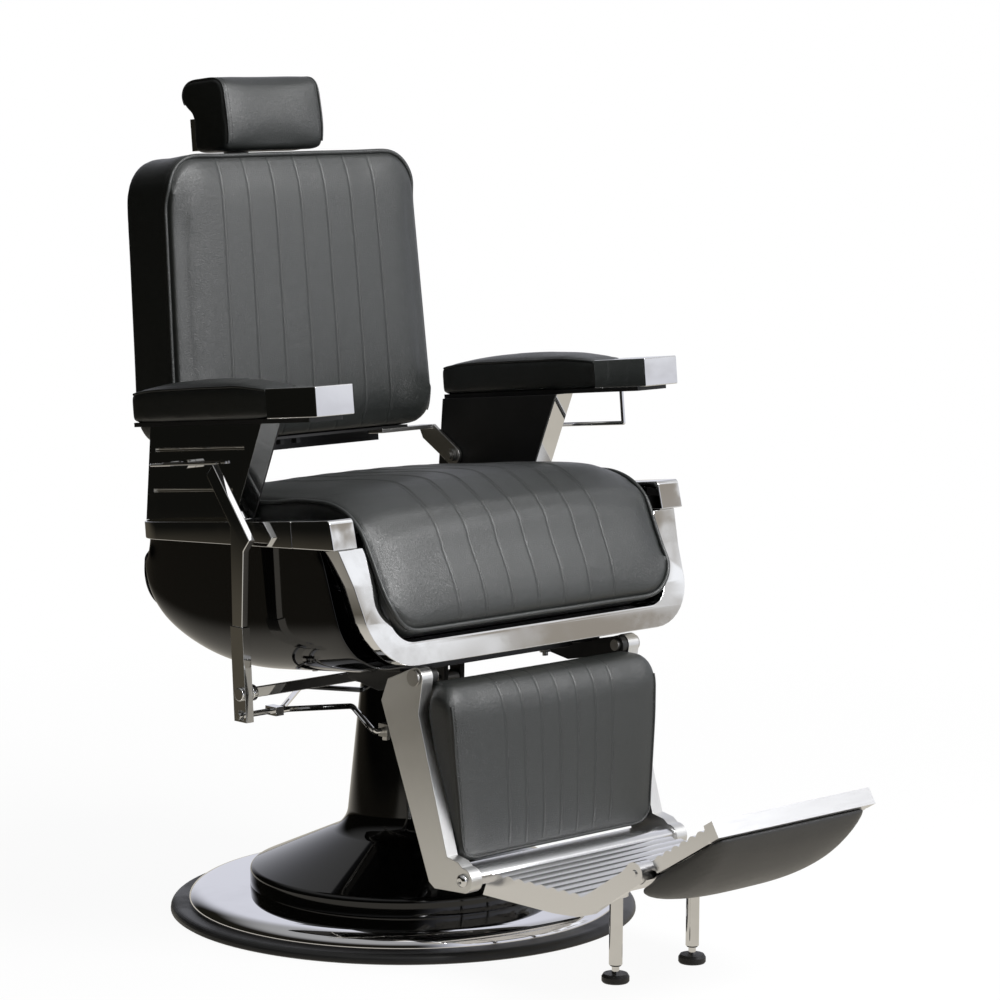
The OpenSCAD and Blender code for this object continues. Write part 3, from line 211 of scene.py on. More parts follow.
def paint_world():
    world = bpy.data.worlds.new("studio")
    scene.world = world
    world.use_nodes = True
    tree = world.node_tree
    tree.nodes.clear()
    direction = add_node(tree, "ShaderNodeTexCoord").outputs["Generated"]
    parts = add_node(tree, "ShaderNodeSeparateXYZ", {0: direction}).outputs
    toward_wall = math_node(tree, "MULTIPLY_ADD", parts["Y"], -0.35, parts["X"])
    toward_front = math_node(tree, "MULTIPLY_ADD", parts["X"], 0.55,
                             math_node(tree, "MULTIPLY", parts["Y"], -0.85))
    room = fade(tree, toward_wall, -0.30, 0.25, ROOM_DARK, WALL_WHITE)
    room = fade(tree, parts["Z"], 0.45, 0.85, room, CEILING)
    light = fade(tree, toward_front, -0.15, 0.80, LEFT_LIGHT, FRONT_LIGHT)
    light = fade(tree, parts["Z"], 0.40, 0.90, light, TOP_LIGHT)
    facing = add_node(tree, "ShaderNodeVectorMath",
                      {0: direction, 1: Vector(WINDOW_WAY).normalized()}, operation="DOT_PRODUCT")
    window = eased_range(tree, facing.outputs["Value"], 0.87, 0.97)
    patches = noise_mask(tree, direction, 7.0, PATCH_DETAIL, PATCH_ROUGH)
    panes = fade(tree, patches, 0.47, 0.60, WINDOW, WINDOW_SHADE)
    room = blend_colours(tree, window, room, panes)
    light = blend_colours(tree, window, light, WINDOW)
    path = add_node(tree, "ShaderNodeLightPath").outputs
    shown = blend_colours(tree, path["Is Glossy Ray"], light, room)
    shown = blend_colours(tree, path["Is Camera Ray"], shown, (1, 1, 1))
    background = add_node(tree, "ShaderNodeBackground", {"Color": shown, "Strength": 1.0})
    add_node(tree, "ShaderNodeOutputWorld", {"Surface": background.outputs[0]})
    world.cycles.sampling_method = "NONE"


paint_world()


# %% Lamps
def softbox(name, place, target, size, power):
    lamp = bpy.data.lights.new(name, "AREA")
    lamp.shape = "RECTANGLE"
    lamp.size, lamp.size_y = size
    lamp.energy = power
    holder = linked_object(name, lamp)
    holder.location = place
    aim = Vector(target) - Vector(place)
    holder.rotation_euler = aim.to_track_quat("-Z", "Y").to_euler()


softbox("front_softbox", (0.74, -2.75, 2.77), (0, 0, 0.55), (1.8, 1.3), 150)
softbox("top_softbox", (0.6, -0.9, 3.2), (0, 0, 0.5), (2.4, 2.4), 10)

# %% [markdown]
# ## The floor
# The floor is one square that reads as white paper. Near the chair it is partly lit, so that a
# faint shadow ties the chair to the ground, and further out it is a plain white glow. Polished
# parts see a painted scene in it: for glossy rays it glows with painted warm light close by, a
# painted bright mottled hall to the right, and painted shade that darkens towards the dark end
# of the room to the left.

# %% Floor
FLOOR_HALF, FLOOR_DROP = 9.0, -0.0005
PAPER_NEAR, PAPER_FAR = 0.94, 1.0
# what glossy rays see of the floor: painted warm light near the chair, a painted mottled hall
# reflection far to the right, and painted shade that darkens towards the left and far back
PAINTED_WARM_LIGHT = (0.60, 0.565, 0.50)
HALL_WHITE = (0.90, 0.94, 1.00)
HALL_TAN = (0.30, 0.26, 0.21)
DIM_TAN = (0.075, 0.066, 0.050)
FAR_DARK = (0.006, 0.006, 0.005)
BOUNCE_RIGHT, BOUNCE_LEFT = (0.60, 0.60, 0.58), (0.10, 0.10, 0.10)


def paper_material():
    made = bpy.data.materials.new("paper")
    made.use_nodes = True
    tree = made.node_tree
    tree.nodes.clear()
    place = object_place(tree)
    parts = add_node(tree, "ShaderNodeSeparateXYZ", {0: place}).outputs
    reach = add_node(tree, "ShaderNodeVectorMath", {0: place}, operation="LENGTH")
    left = math_node(tree, "MULTIPLY_ADD", parts["X"], -0.69,
                     math_node(tree, "MULTIPLY", parts["Y"], 0.72))
    patches = noise_mask(tree, place, 1.1, PATCH_DETAIL, PATCH_ROUGH)
    seen = fade(tree, patches, 0.50, 0.60, HALL_WHITE, HALL_TAN)
    # painted light and shade for glossy rays: warm near the chair, then dimmer and dark towards the
    # left and far back
    for start, end, colour in ((-2.4, -0.9, PAINTED_WARM_LIGHT), (0.5, 1.8, DIM_TAN), (2.6, 4.6, FAR_DARK)):
        seen = fade(tree, left, start, end, seen, colour)
    path = add_node(tree, "ShaderNodeLightPath").outputs
    colour = blend_colours(tree, path["Is Glossy Ray"], (1, 1, 1), seen)
    glow = add_node(tree, "ShaderNodeEmission", {"Color": colour, "Strength": 1.0})
    paper = add_node(tree, "ShaderNodeMapRange",
                     {"Value": reach.outputs["Value"], "From Min": 0.8, "From Max": 2.2,
                      "To Min": PAPER_NEAR, "To Max": PAPER_FAR})
    shown = math_node(tree, "MULTIPLY", path["Is Camera Ray"], paper.outputs["Result"])
    shown = math_node(tree, "MAXIMUM", shown, path["Is Glossy Ray"])
    bounce = fade(tree, left, -0.2, 1.2, BOUNCE_RIGHT, BOUNCE_LEFT)
    bounce = blend_colours(tree, path["Is Camera Ray"], bounce, (0.90, 0.90, 0.90))
    lit = add_node(tree, "ShaderNodeBsdfDiffuse", {"Color": bounce})
    both = add_node(tree, "ShaderNodeMixShader", {0: shown, 1: lit.outputs[0], 2: glow.outputs[0]})
    add_node(tree, "ShaderNodeOutputMaterial", {"Surface": both.outputs[0]})
    made.cycles.emission_sampling = "NONE"
    return made


def lay_floor():
    bm = bmesh.new()
    bmesh.ops.create_grid(bm, x_segments=1, y_segments=1, size=FLOOR_HALF)
    floor = linked_object("floor", mesh_from(bm, "floor"))
    floor.data.materials.append(paper_material())
    floor.location.z = FLOOR_DROP


lay_floor()

# %% [markdown]
# ## Shared surface effects
# Real finishes are never even. Three effects are used again and again, so each is one node
# group that puts out masks and heights: the grain of coated leather, the fine lines of brushed
# metal, and the faint smears that hands leave on polish.

# %% Effect groups
def effect_group(name, inputs, outputs):
    group = bpy.data.node_groups.new(name, "ShaderNodeTree")
    for label, value in inputs.items():
        socket = group.interface.new_socket(label, in_out="INPUT", socket_type="NodeSocketFloat")
        socket.default_value = value
    for label in outputs:
        group.interface.new_socket(label, in_out="OUTPUT", socket_type="NodeSocketFloat")
    return (group, add_node(group, "NodeGroupInput").outputs,
            add_node(group, "NodeGroupOutput").inputs)


def make_leather_grain():
    group, given, result = effect_group("leather_grain", {"Cells": 620.0}, ["Height", "Shade"])
    place = object_place(group)
    warp = noise_mask(group, place, 90.0)
    shift = add_node(group, "ShaderNodeVectorMath", {0: warp, 1: (0.0012, 0.0012, 0.0012),
                                                     2: place}, operation="MULTIPLY_ADD")
    cells = add_node(group, "ShaderNodeTexVoronoi",
                     {"Vector": shift.outputs[0], "Scale": given["Cells"]},
                     feature="DISTANCE_TO_EDGE")
    crease = eased_range(group, cells.outputs["Distance"], 0.0, 0.22)
    pores = noise_mask(group, place, 380.0)
    group.links.new(math_node(group, "MULTIPLY_ADD", pores, 1.6, crease), result["Height"])
    group.links.new(noise_mask(group, place, 14.0, 3.0), result["Shade"])
    return group


def make_brushed_lines():
    group, given, result = effect_group("brushed_lines", {"Along X": 40.0, "Along Z": 900.0},
                                        ["Height", "Streak"])
    scale = add_node(group, "ShaderNodeCombineXYZ",
                     {"X": given["Along X"], "Y": given["Along Z"], "Z": given["Along Z"]})
    drawn = add_node(group, "ShaderNodeVectorMath", {0: object_place(group), 1: scale.outputs[0]},
                     operation="MULTIPLY")
    lines = noise_mask(group, drawn.outputs[0], 1.0, 3.0, 0.6)
    for socket in (result["Height"], result["Streak"]):
        group.links.new(lines, socket)
    return group


def make_hand_smears():
    group, given, result = effect_group("hand_smears", {"Size": 9.0}, ["Mask"])
    broad = noise_mask(group, object_place(group), given["Size"], 4.0, 0.62)
    group.links.new(eased_range(group, broad, 0.46, 0.72), result["Mask"])
    return group


LEATHER_GRAIN = make_leather_grain()
BRUSHED_LINES = make_brushed_lines()
HAND_SMEARS = make_hand_smears()
print("groups:", [g.name for g in bpy.data.node_groups])


# %% Material helpers
def new_finish(name, **sockets):
    made = bpy.data.materials.new(name)
    made.use_nodes = True
    shader = made.node_tree.nodes["Principled BSDF"]
    for key, value in sockets.items():
        label = key.replace("_", " ").title().replace("Ior", "IOR")
        shader.inputs[label].default_value = value
    return made, made.node_tree, shader


def use_group(tree, group, **values):
    node = add_node(tree, "ShaderNodeGroup", node_tree=group)
    for key, value in values.items():
        node.inputs[key.replace("_", " ")].default_value = value
    return node.outputs


def bump_into(tree, shader, height, distance, strength=1.0):
    bump = add_node(tree, "ShaderNodeBump",
                    {"Height": height, "Distance": distance, "Strength": strength})
    tree.links.new(bump.outputs["Normal"], shader.inputs["Normal"])


def surface_into(tree, shader, mask, colours, roughness):
    """Blend the colour and the roughness over one mask."""
    tree.links.new(blend_colours(tree, mask, *colours), shader.inputs["Base Color"])
    low, high = roughness
    spread = add_node(tree, "ShaderNodeMapRange", {"Value": mask, "To Min": low, "To Max": high})
    tree.links.new(spread.outputs["Result"], shader.inputs["Roughness"])


def scaled(colour, factor):
    return tuple(factor * v for v in colour)


# %% [markdown]
# ## Finishes
# The upholstery is black coated leather: dark, a little soft in its shine, with a fine grain.
# The tub and the column cover are gloss black paint. Rails, band, posts and base are chrome
# plate, the leg arms are brushed metal, and the footplate is polished cast aluminium.

# %% Leather
def make_leather(name, colours, roughness, shine=0.9):
    made, tree, shader = new_finish(name, specular_ior_level=shine)
    grain = use_group(tree, LEATHER_GRAIN)
    surface_into(tree, shader, grain["Shade"], colours, roughness)
    bump_into(tree, shader, grain["Height"], 0.00018, 0.7)
    return made


LEATHER = make_leather("black_leather", ((0.010, 0.012, 0.011), (0.014, 0.016, 0.015)),
                       (0.42, 0.35), shine=0.70)
VINYL = make_leather("black_vinyl", ((0.006, 0.006, 0.006), (0.009, 0.009, 0.009)), (0.36, 0.30))
THREAD = make_leather("black_thread", ((0.010, 0.010, 0.010), (0.030, 0.030, 0.030)),
                      (0.60, 0.50))


# %% Chrome and metals
SMEAR_SHADE, LINE_SHADE = 0.94, 0.88


def make_chrome(name, tint, roughness, smear_size):
    made, tree, shader = new_finish(name, metallic=1.0)
    smears = use_group(tree, HAND_SMEARS, Size=smear_size)
    surface_into(tree, shader, smears["Mask"], (tint, scaled(tint, SMEAR_SHADE)), roughness)
    return made


def make_brushed(name, tint, roughness, along, across, depth, metallic=1.0):
    made, tree, shader = new_finish(name, metallic=metallic)
    lines = use_group(tree, BRUSHED_LINES, Along_X=along, Along_Z=across)
    surface_into(tree, shader, lines["Streak"], (scaled(tint, LINE_SHADE), tint),
                 (roughness - 0.05, roughness + 0.06))
    bump_into(tree, shader, lines["Height"], depth, 0.5)
    return made


CHROME = make_chrome("chrome", (0.80, 0.80, 0.80), (0.035, 0.11), 11.0)
BASE_CHROME = make_chrome("base_chrome", (0.80, 0.80, 0.82), (0.02, 0.07), 7.0)
STEEL = make_brushed("zinc_steel", (0.58, 0.57, 0.55), 0.30, 300.0, 300.0, 0.00004)
BRUSHED = make_brushed("brushed_steel", (0.82, 0.82, 0.81), 0.34, 900.0, 25.0, 0.00001)
ALUMINIUM = make_brushed("polished_aluminium", (0.93, 0.93, 0.94), 0.22, 30.0, 700.0, 0.00002)


# %% Paints, rubber, boards
def make_paint(name, grey, roughness, coat=0.0, orange_peel=0.0):
    made, tree, shader = new_finish(name, coat_weight=coat, coat_roughness=0.03)
    smears = use_group(tree, HAND_SMEARS, Size=8.0)
    colour = (grey, grey, grey)
    surface_into(tree, shader, smears["Mask"], (colour, scaled(colour, 1.25)), roughness)
    if orange_peel:
        bump_into(tree, shader, noise_mask(tree, object_place(tree), 160.0, 1.0), orange_peel, 0.5)
    return made


GLOSS_BLACK = make_paint("gloss_black", 0.0035, (0.05, 0.11), coat=0.15)
SATIN_BLACK = make_paint("satin_black", 0.012, (0.32, 0.42), orange_peel=0.0001)
RUBBER = make_paint("rubber", 0.010, (0.42, 0.60), orange_peel=0.0002)
PANEL = make_paint("black_panel", 0.014, (0.48, 0.58), orange_peel=0.0002)
PLYWOOD = make_brushed("black_plywood", (0.016, 0.015, 0.014), 0.62, 12.0, 260.0, 0.0001,
                       metallic=0.0)

# %% Give every node its finish
FINISHES = [
    ("chrome", CHROME, """pump_ram rail_left rail_right rail_corner_left rail_corner_right
        front_band arm_post_left arm_post_right arm_cap_left arm_cap_right towel_bar
        lever_bracket lever_socket lever_handle yoke_link pump_yoke release_handle headrest_bar
        headrest_bracket support_legs"""),
    ("chrome", BASE_CHROME, "base_plate"),
    ("steel", STEEL, """pump_socket socket_bolts pump_cylinder mount_bolts recline_bolts
        yoke_clamps pump_rocker back_arm_left back_arm_right leg_pivots toe_rod"""),
    ("steel", BRUSHED, "leg_arm_left leg_arm_right"),
    ("cast_aluminium", ALUMINIUM, "footplate flip_plate"),
    ("black_paint", GLOSS_BLACK, "bell_cover seat_tub"),
    ("black_paint", SATIN_BLACK, """cover_collar seat_mount seat_frame back_channel
        headrest_guide leg_hinge_arms"""),
    ("rubber", RUBBER, "rubber_rim rubber_feet"),
    ("black_panel", PANEL, """arm_lining_left arm_lining_right arm_board_left arm_board_right
        back_board leg_board"""),
    ("plywood", PLYWOOD, "seat_pan"),
    ("upholstery", LEATHER, """seat_cushion arm_pad_left arm_pad_right back_cushion
        headrest_cushion leg_pad flip_pad"""),
]
BODY_OF = {name: node["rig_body"] for name, node in nodes.items()}
for slot_name, finish, names in FINISHES:
    for name in names.split():
        nodes[name].data.materials.clear()
        nodes[name].data.materials.append(finish)

# %% [markdown]
# ## Frames to build in
# The seat, arms and back are drawn square and then tilted back together, and the flip plate
# slopes up from its hinge. A piece is easier to shape square, so it is built in its own frame
# and its mesh is carried to its place at the end. The object itself stays at the origin.

# %% Frames and small sums
SEAT_FRAME = Matrix.Translation((0, 0, 0.582)) @ Matrix.Rotation(math.radians(-6), 4, "X")
FLIP_FRAME = (Matrix.Translation((0, -0.61096, 0.18036))
              @ Matrix.Rotation(math.radians(-31.5), 4, "X"))
LEVEL_FRAME = Matrix.Identity(4)


def mm(*values):
    return Vector([0.001 * v for v in values])


def between(a, b, t):
    return a + (b - a) * t


def eased_step(t):
    t = min(1.0, max(0.0, t))
    return t * t * (3 - 2 * t)


def arc_points(cx, cy, r, a0, a1, n):
    """Points of an arc in the plane, in n equal steps from angle a0 to a1 in degrees."""
    turns = [math.radians(between(a0, a1, i / n)) for i in range(n + 1)]
    return [(cx + r * math.cos(a), cy + r * math.sin(a)) for a in turns]


# %% Piece helpers
def finished_piece(name, source, material, body, stands_for=(), frame_of=LEVEL_FRAME):
    """Put a bmesh or a mesh in its place as a piece that rides on a body."""
    mesh = mesh_from(source) if isinstance(source, bmesh.types.BMesh) else source
    mesh.name = name
    mesh.transform(frame_of)
    mesh.shade_smooth()
    mesh.materials.clear()
    mesh.materials.append(material)
    piece = linked_object(name, mesh)
    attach(piece, body)
    if stands_for:
        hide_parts(*stands_for)
    return piece


def metal_piece(name, source, material, body, stands_for=(), weight=50):
    """A piece whose large flat faces set the normals, so that they stay flat in reflections."""
    piece = finished_piece(name, source, material, body, stands_for)
    piece.modifiers.new("flat faces", "WEIGHTED_NORMAL").weight = weight
    print(name, len(piece.data.polygons), "faces")


def lofted(rings):
    """Extrude one ring of edges from section to section, and move each copy into place."""
    bm = bmesh.new()
    ring = [bm.verts.new(p) for p in rings[0]]
    count = len(ring)
    loop = [bm.edges.new((ring[i], ring[(i + 1) % count])) for i in range(count)]
    bmesh.ops.contextual_create(bm, geom=loop)
    for section in rings[1:]:
        grown = bmesh.ops.extrude_edge_only(bm, edges=loop)["geom"]
        fresh = {v for v in grown if isinstance(v, bmesh.types.BMVert)}
        copy_of = {e.other_vert(v): v for v in fresh for e in v.link_edges
                   if e.other_vert(v) not in fresh}
        ring = [copy_of[v] for v in ring]
        for vert, point in zip(ring, section):
            vert.co = point
        loop = [e for e in grown if isinstance(e, bmesh.types.BMEdge)
                and e.verts[0] in fresh and e.verts[1] in fresh]
    bmesh.ops.contextual_create(bm, geom=loop)
    bmesh.ops.recalc_face_normals(bm, faces=bm.faces)
    return bm


def across(half, corner):
    """Places across a pad of that half width, close together over its rounded corners."""
    inner = 14
    turn = [half - corner + corner * math.sin(math.radians(a)) for a in range(0, 91, 9)]
    middle = [between(-(half - corner), half - corner, i / inner) for i in range(1, inner)]
    return [-x for x in reversed(turn)] + middle + turn


def crowned_face(front, crown, share, low, high):
    """Nine points up a front face that stands out by the crown in its middle."""
    made = []
    for i in range(9):
        z = between(low, high, i / 8)
        full = (1 - abs(2 * i / 8 - 1) ** 3) * (1 - share ** 3)
        made.append((front(z) - crown * full, z))
    return made


def corner_cut(x, half, corner):
    """How far a rounded corner has cut into the end of a pad at x."""
    run = max(0.0, abs(x) - (half - corner))
    return corner - math.sqrt(max(0.0, corner * corner - run * run))


# %% [markdown]
# ## Softening the edges of pressed and cast metal
# Sharp CAD edges never catch the light, and real chrome always has a small bright line along
# each edge. A copy of the node is merged, its flat faces are joined, and its sharp edges get a
# narrow bevel. Weighted normals keep the flats flat in the reflections.

# %% Eased edges
MERGE_WITHIN = 2e-6
FLAT_WITHIN, SHARP_FROM = math.radians(0.6), math.radians(28)


def eased_copy(node_name, width):
    source = nodes[node_name]
    bm = bmesh_from(source.data)
    bmesh.ops.remove_doubles(bm, verts=bm.verts, dist=MERGE_WITHIN)
    bmesh.ops.dissolve_limit(bm, angle_limit=FLAT_WITHIN, verts=bm.verts, edges=bm.edges)
    sharp = [e for e in bm.edges if len(e.link_faces) == 2
             and e.calc_face_angle(0) > SHARP_FROM]
    bmesh.ops.bevel(bm, geom=sharp, offset=0.001 * width, segments=2, profile=0.5,
                    affect="EDGES", material=-1, clamp_overlap=True)
    metal_piece(node_name + "_eased", bm, source.data.materials[0], BODY_OF[node_name],
                (node_name,), weight=90)


# the width of the eased edge in millimetres, and the nodes that have it
EASED = {
    1.2: "rail_left rail_right arm_post_left arm_post_right lever_socket lever_bracket",
    1.6: "rail_corner_left rail_corner_right arm_cap_left arm_cap_right lever_handle",
    2.4: "front_band leg_arm_left leg_arm_right",
    0.8: "footplate flip_plate headrest_bracket yoke_link yoke_clamps back_arm_left",
    0.9: "back_arm_right seat_mount leg_hinge_arms arm_lining_left arm_lining_right",
}
for width, names in EASED.items():
    for name in names.split():
        eased_copy(name, width)

# %% [markdown]
# ## The tub
# The tub is a deep pressed shell in gloss paint. Paint this glossy shows every facet, so the
# shell is lofted from the same sections as the solid and finished with a subdivision surface.
# The wall is added last, because a shell is easier to keep smooth than a closed box.

# %% Tub
TUB_DEPTH, TUB_RIM, TUB_BACK, TUB_CORNER, TUB_SIDE = 209, 208, 233, 62, 325
TUB_TOP, TUB_LEAN, TUB_ROUND, TUB_WALL = -4, 6, 75, 0.003
TUB_STATIONS = [-250, -246, -215, -187, -145, -100, -50, 0, 40, 80, 110, 140, 160, 178, 192, 202,
                208, 208.5, 212, 216, 224, 229, 233]


def tub_plan(w):
    out = eased_step((-33 - w) / 12) * 0.68 + eased_step((-40 - w) / 40) * 0.32
    return between(TUB_RIM, TUB_BACK, out)


def tub_half(v, w):
    run = min(TUB_CORNER, max(0, v - tub_plan(w) + TUB_CORNER))
    return TUB_SIDE - TUB_CORNER + math.sqrt(max(0, TUB_CORNER ** 2 - run ** 2))


def tub_floor(v):
    if v < -187:
        return -TUB_DEPTH + 10 * (-187 - v) / 63
    if v < 0:
        return -TUB_DEPTH
    return -TUB_DEPTH + 136 * (1 - math.sqrt(max(0, 1 - (v / (TUB_BACK + 0.3)) ** 1.9)))


def tub_section(v):
    floor, top = tub_floor(v), TUB_TOP if v <= TUB_RIM else -34 - 0.4 * (v - TUB_RIM)
    corner = min(TUB_ROUND, (top - floor) * 0.55)
    low = floor + corner
    side = []
    for share in (0, 0.25, 0.5, 0.75):
        w = between(top, low, share)
        side.append((tub_half(v, w) - TUB_LEAN * share, w))
    centre = tub_half(v, low) - TUB_LEAN - corner
    side += arc_points(centre, low, corner, 0, -90, 6) + [(centre * 0.5, floor)]
    half = [mm(x, v, w) for x, w in side]
    return half + [mm(-x, v, w) for x, w in reversed(side)]


def make_tub():
    bm = lofted([tub_section(v) for v in TUB_STATIONS])
    opening = [f for f in bm.faces if f.normal.z > 0.9 or f.normal.y < -0.9]
    bmesh.ops.delete(bm, geom=opening, context="FACES")
    # the front edge follows the rear face of the band
    whole = bm.verts[:] + bm.edges[:] + bm.faces[:]
    bmesh.ops.bisect_plane(bm, geom=whole, plane_co=mm(0, -186, -39.5), plane_no=(0, -150, 30),
                           clear_outer=True)
    tub = finished_piece("seat_tub_shell", bm, GLOSS_BLACK, "seat",
                         ("seat_tub",), SEAT_FRAME)
    wall = tub.modifiers.new("wall", "SOLIDIFY")
    wall.thickness, wall.offset = TUB_WALL, -1
    smooth = tub.modifiers.new("smooth", "SUBSURF")
    smooth.levels = smooth.render_levels = 2
    return tub


print("tub faces:", len(make_tub().data.polygons))

# %% [markdown]
# ## The column cover and the base plate
# Both are turned parts, spun on a lathe in the real object, so a spin of half an outline is
# the natural tool. The outline has many points where it curves, and the shading is smooth.

# %% Turned parts
def turned_skin(outline, steps=128):
    bm = bmesh.new()
    verts = [bm.verts.new(mm(r, 0, z)) for r, z in outline]
    edges = [bm.edges.new(pair) for pair in zip(verts, verts[1:] + verts[:1])]
    bmesh.ops.spin(bm, geom=verts + edges, cent=(0, 0, 0), axis=(0, 0, 1),
                   angle=2 * math.pi, steps=steps, use_merge=True)
    bmesh.ops.remove_doubles(bm, verts=bm.verts, dist=1e-6)
    bmesh.ops.recalc_face_normals(bm, faces=bm.faces)
    return bm


def cover_outline():
    """The cover's skirt turns up into the column over a fillet that touches both lines."""
    slope, shoulder, fillet = math.radians(24), 9, 38
    skirt_out = Vector((math.sin(slope), math.cos(slope)))
    top, waist = Vector((61, 332)), Vector((80, 136))
    column = (top - waist).normalized()
    column_out = Vector((column.y, -column.x))
    edge = Vector((218 - shoulder, 56)) + shoulder * skirt_out
    d1, d2 = skirt_out.dot(edge) + fillet, column_out.dot(waist) + fillet
    det = skirt_out.x * column_out.y - skirt_out.y * column_out.x
    cx = (d1 * column_out.y - d2 * skirt_out.y) / det
    cy = (d2 * skirt_out.x - d1 * column_out.x) / det
    a1 = math.degrees(math.atan2(-skirt_out.y, -skirt_out.x))
    a2 = math.degrees(math.atan2(-column_out.y, -column_out.x))
    return ([(218, 38), (218, 47)] + arc_points(218 - shoulder, 56, shoulder, 0, 66, 10)
            + arc_points(cx, cy, fillet, a1, a2, 24) + [(61.0, 331), (60.2, 332)])


outer = cover_outline()
inner = [(r - 2.5, z - 2.5 if 38 < z < 331 else z) for r, z in reversed(outer)]
metal_piece("bell_cover_skin", turned_skin(outer + inner), GLOSS_BLACK, "base",
            ("bell_cover",))


# %% Base plate
def plate_outline(drop):
    turns = [math.radians(90 - 5 * i) for i in range(19)]
    edge = [(275 + (30 - drop) * math.sin(a), 16 + (18 - drop) * math.cos(a)) for a in turns]
    return edge + [(220, 38 - drop)]


plate = ([(305, 3), (305, 12)] + plate_outline(0) + [(48, 38), (48, 33)]
         + plate_outline(5)[::-1] + [(300, 3)])
metal_piece("base_plate_skin", turned_skin(plate, 160), BASE_CHROME, "base",
            ("base_plate",))

# %% [markdown]
# ## Upholstery
# Each cushion is foam under a tight leather cover: crowned faces, upright sides, a corded
# piping or a stitched seam where panels meet, and sewn lines down the front. The shape starts
# as a loft of its sections. It is then remeshed into even cells, and a short cloth run under
# pressure swells the panels between their edges, as foam does. The movement is capped, and is
# held back where the cushion rests on something. The sewn lines and the piping come last,
# because remeshing would wash them out.

# %% Cloth helpers
CLOTH_PRESSURE, CLOTH_STIFFNESS, CLOTH_FRAMES = 4.0, 40, 20


def evaluated_mesh(thing):
    graph = bpy.context.evaluated_depsgraph_get()
    made = bpy.data.meshes.new_from_object(thing.evaluated_get(graph))
    bpy.data.objects.remove(thing)
    return made


def even_mesh(bm, cell):
    thing = linked_object("working_copy", mesh_from(bm))
    cells = thing.modifiers.new("cells", "REMESH")
    cells.mode, cells.voxel_size = "VOXEL", cell
    return evaluated_mesh(thing)


def vertex_array(mesh, what="co"):
    flat = np.empty(3 * len(mesh.vertices), np.float32)
    mesh.vertices.foreach_get(what, flat)
    return flat.reshape(-1, 3).astype(float)


def set_points(mesh, points):
    mesh.vertices.foreach_set("co", points.astype(np.float32).ravel())
    mesh.update()


def smoothed_field(mesh, field, rounds=40):
    """Average a field over the mesh's edges, so that no sharp wrinkle is left in it."""
    ends = np.empty(2 * len(mesh.edges), np.int32)
    mesh.edges.foreach_get("vertices", ends)
    a, b = np.concatenate([ends[0::2], ends[1::2]]), np.concatenate([ends[1::2], ends[0::2]])
    links = np.bincount(a, minlength=len(field))
    for _ in range(rounds):
        around = [np.bincount(a, weights=field[b, k], minlength=len(field)) for k in range(3)]
        field = 0.5 * field + 0.5 * np.stack(around, axis=1) / np.maximum(links, 1)[:, None]
    return field


def swell(mesh, cap, hold):
    """Run the cloth under pressure and take its movement, up to cap and scaled by hold."""
    rest, facing = vertex_array(mesh), vertex_array(mesh, "normal")
    thing = linked_object("working_copy", mesh.copy())
    cloth = thing.modifiers.new("cloth", "CLOTH")
    settings = cloth.settings
    settings.quality = 4
    settings.use_pressure = True
    settings.uniform_pressure_force = CLOTH_PRESSURE
    settings.effector_weights.gravity = 0
    settings.tension_stiffness = settings.compression_stiffness = CLOTH_STIFFNESS
    cloth.point_cache.frame_start, cloth.point_cache.frame_end = 1, CLOTH_FRAMES
    for step in range(1, CLOTH_FRAMES + 1):
        scene.frame_set(step)
    moved = vertex_array(evaluated_mesh(thing)) - rest
    scene.frame_set(1)
    reach = np.linalg.norm(moved, axis=1, keepdims=True)
    moved *= np.minimum(1, cap / np.maximum(reach, 1e-9))
    moved = smoothed_field(mesh, moved)
    share = hold(rest, facing)[:, None]
    set_points(mesh, rest + moved * share)
    return float(reach.max())


def refined(mesh):
    """Relax the cells a little, then divide them once with a subdivision surface."""
    bm = bmesh_from(mesh)
    for _ in range(2):
        bmesh.ops.smooth_vert(bm, verts=bm.verts, factor=0.5, use_axis_x=True,
                              use_axis_y=True, use_axis_z=True)
    thing = linked_object("working_copy", mesh_from(bm))
    smooth = thing.modifiers.new("smooth", "SUBSURF")
    smooth.levels = smooth.render_levels = 1
    return evaluated_mesh(thing)


def foam(rings, cell, cap, hold):
    mesh = even_mesh(lofted(rings), cell)
    started = time.time()
    reach = swell(mesh, cap, hold)
    print("cells:", len(mesh.polygons), "swell:", round(1000 * reach, 1), "mm in",
          round(time.time() - started, 1), "s")
    return refined(mesh)


def press_in(mesh, press):
    """Move every point in along its normal, by that many millimetres."""
    set_points(mesh, vertex_array(mesh) - vertex_array(mesh, "normal") * (0.001 * press)[:, None])


def press_lines(mesh, lines, face, depth=0.6, half=1.3):
    """Press a sewn channel along each line where the cover faces front."""
    points, facing = vertex_array(mesh), vertex_array(mesh, "normal")
    press = sum(np.exp(-((points[:, 0] * 1000 - line) / half) ** 2) for line in lines)
    press_in(mesh, depth * press * np.clip(face(points, facing), 0, 1))


# %% Piping and stitches
def surface_tree(mesh):
    bm = bmesh_from(mesh)
    tree = BVHTree.FromBMesh(bm)
    bm.free()
    return tree


def resampled(path, pitch):
    spans = [(b - a).length for a, b in zip(path, path[1:])]
    total = sum(spans)
    count = max(2, round(total / pitch))
    made, run, k = [], 0.0, 0
    for i in range(count + 1):
        goal = total * i / count
        while k < len(spans) - 1 and run + spans[k] < goal:
            run += spans[k]
            k += 1
        t = (goal - run) / max(spans[k], 1e-9)
        made.append(path[k].lerp(path[k + 1], min(1, max(0, t))))
    return made


def relaxed(points):
    inner = [(a + b * 2 + c) / 4 for a, b, c in zip(points, points[1:], points[2:])]
    return [points[0]] + inner + [points[-1]]


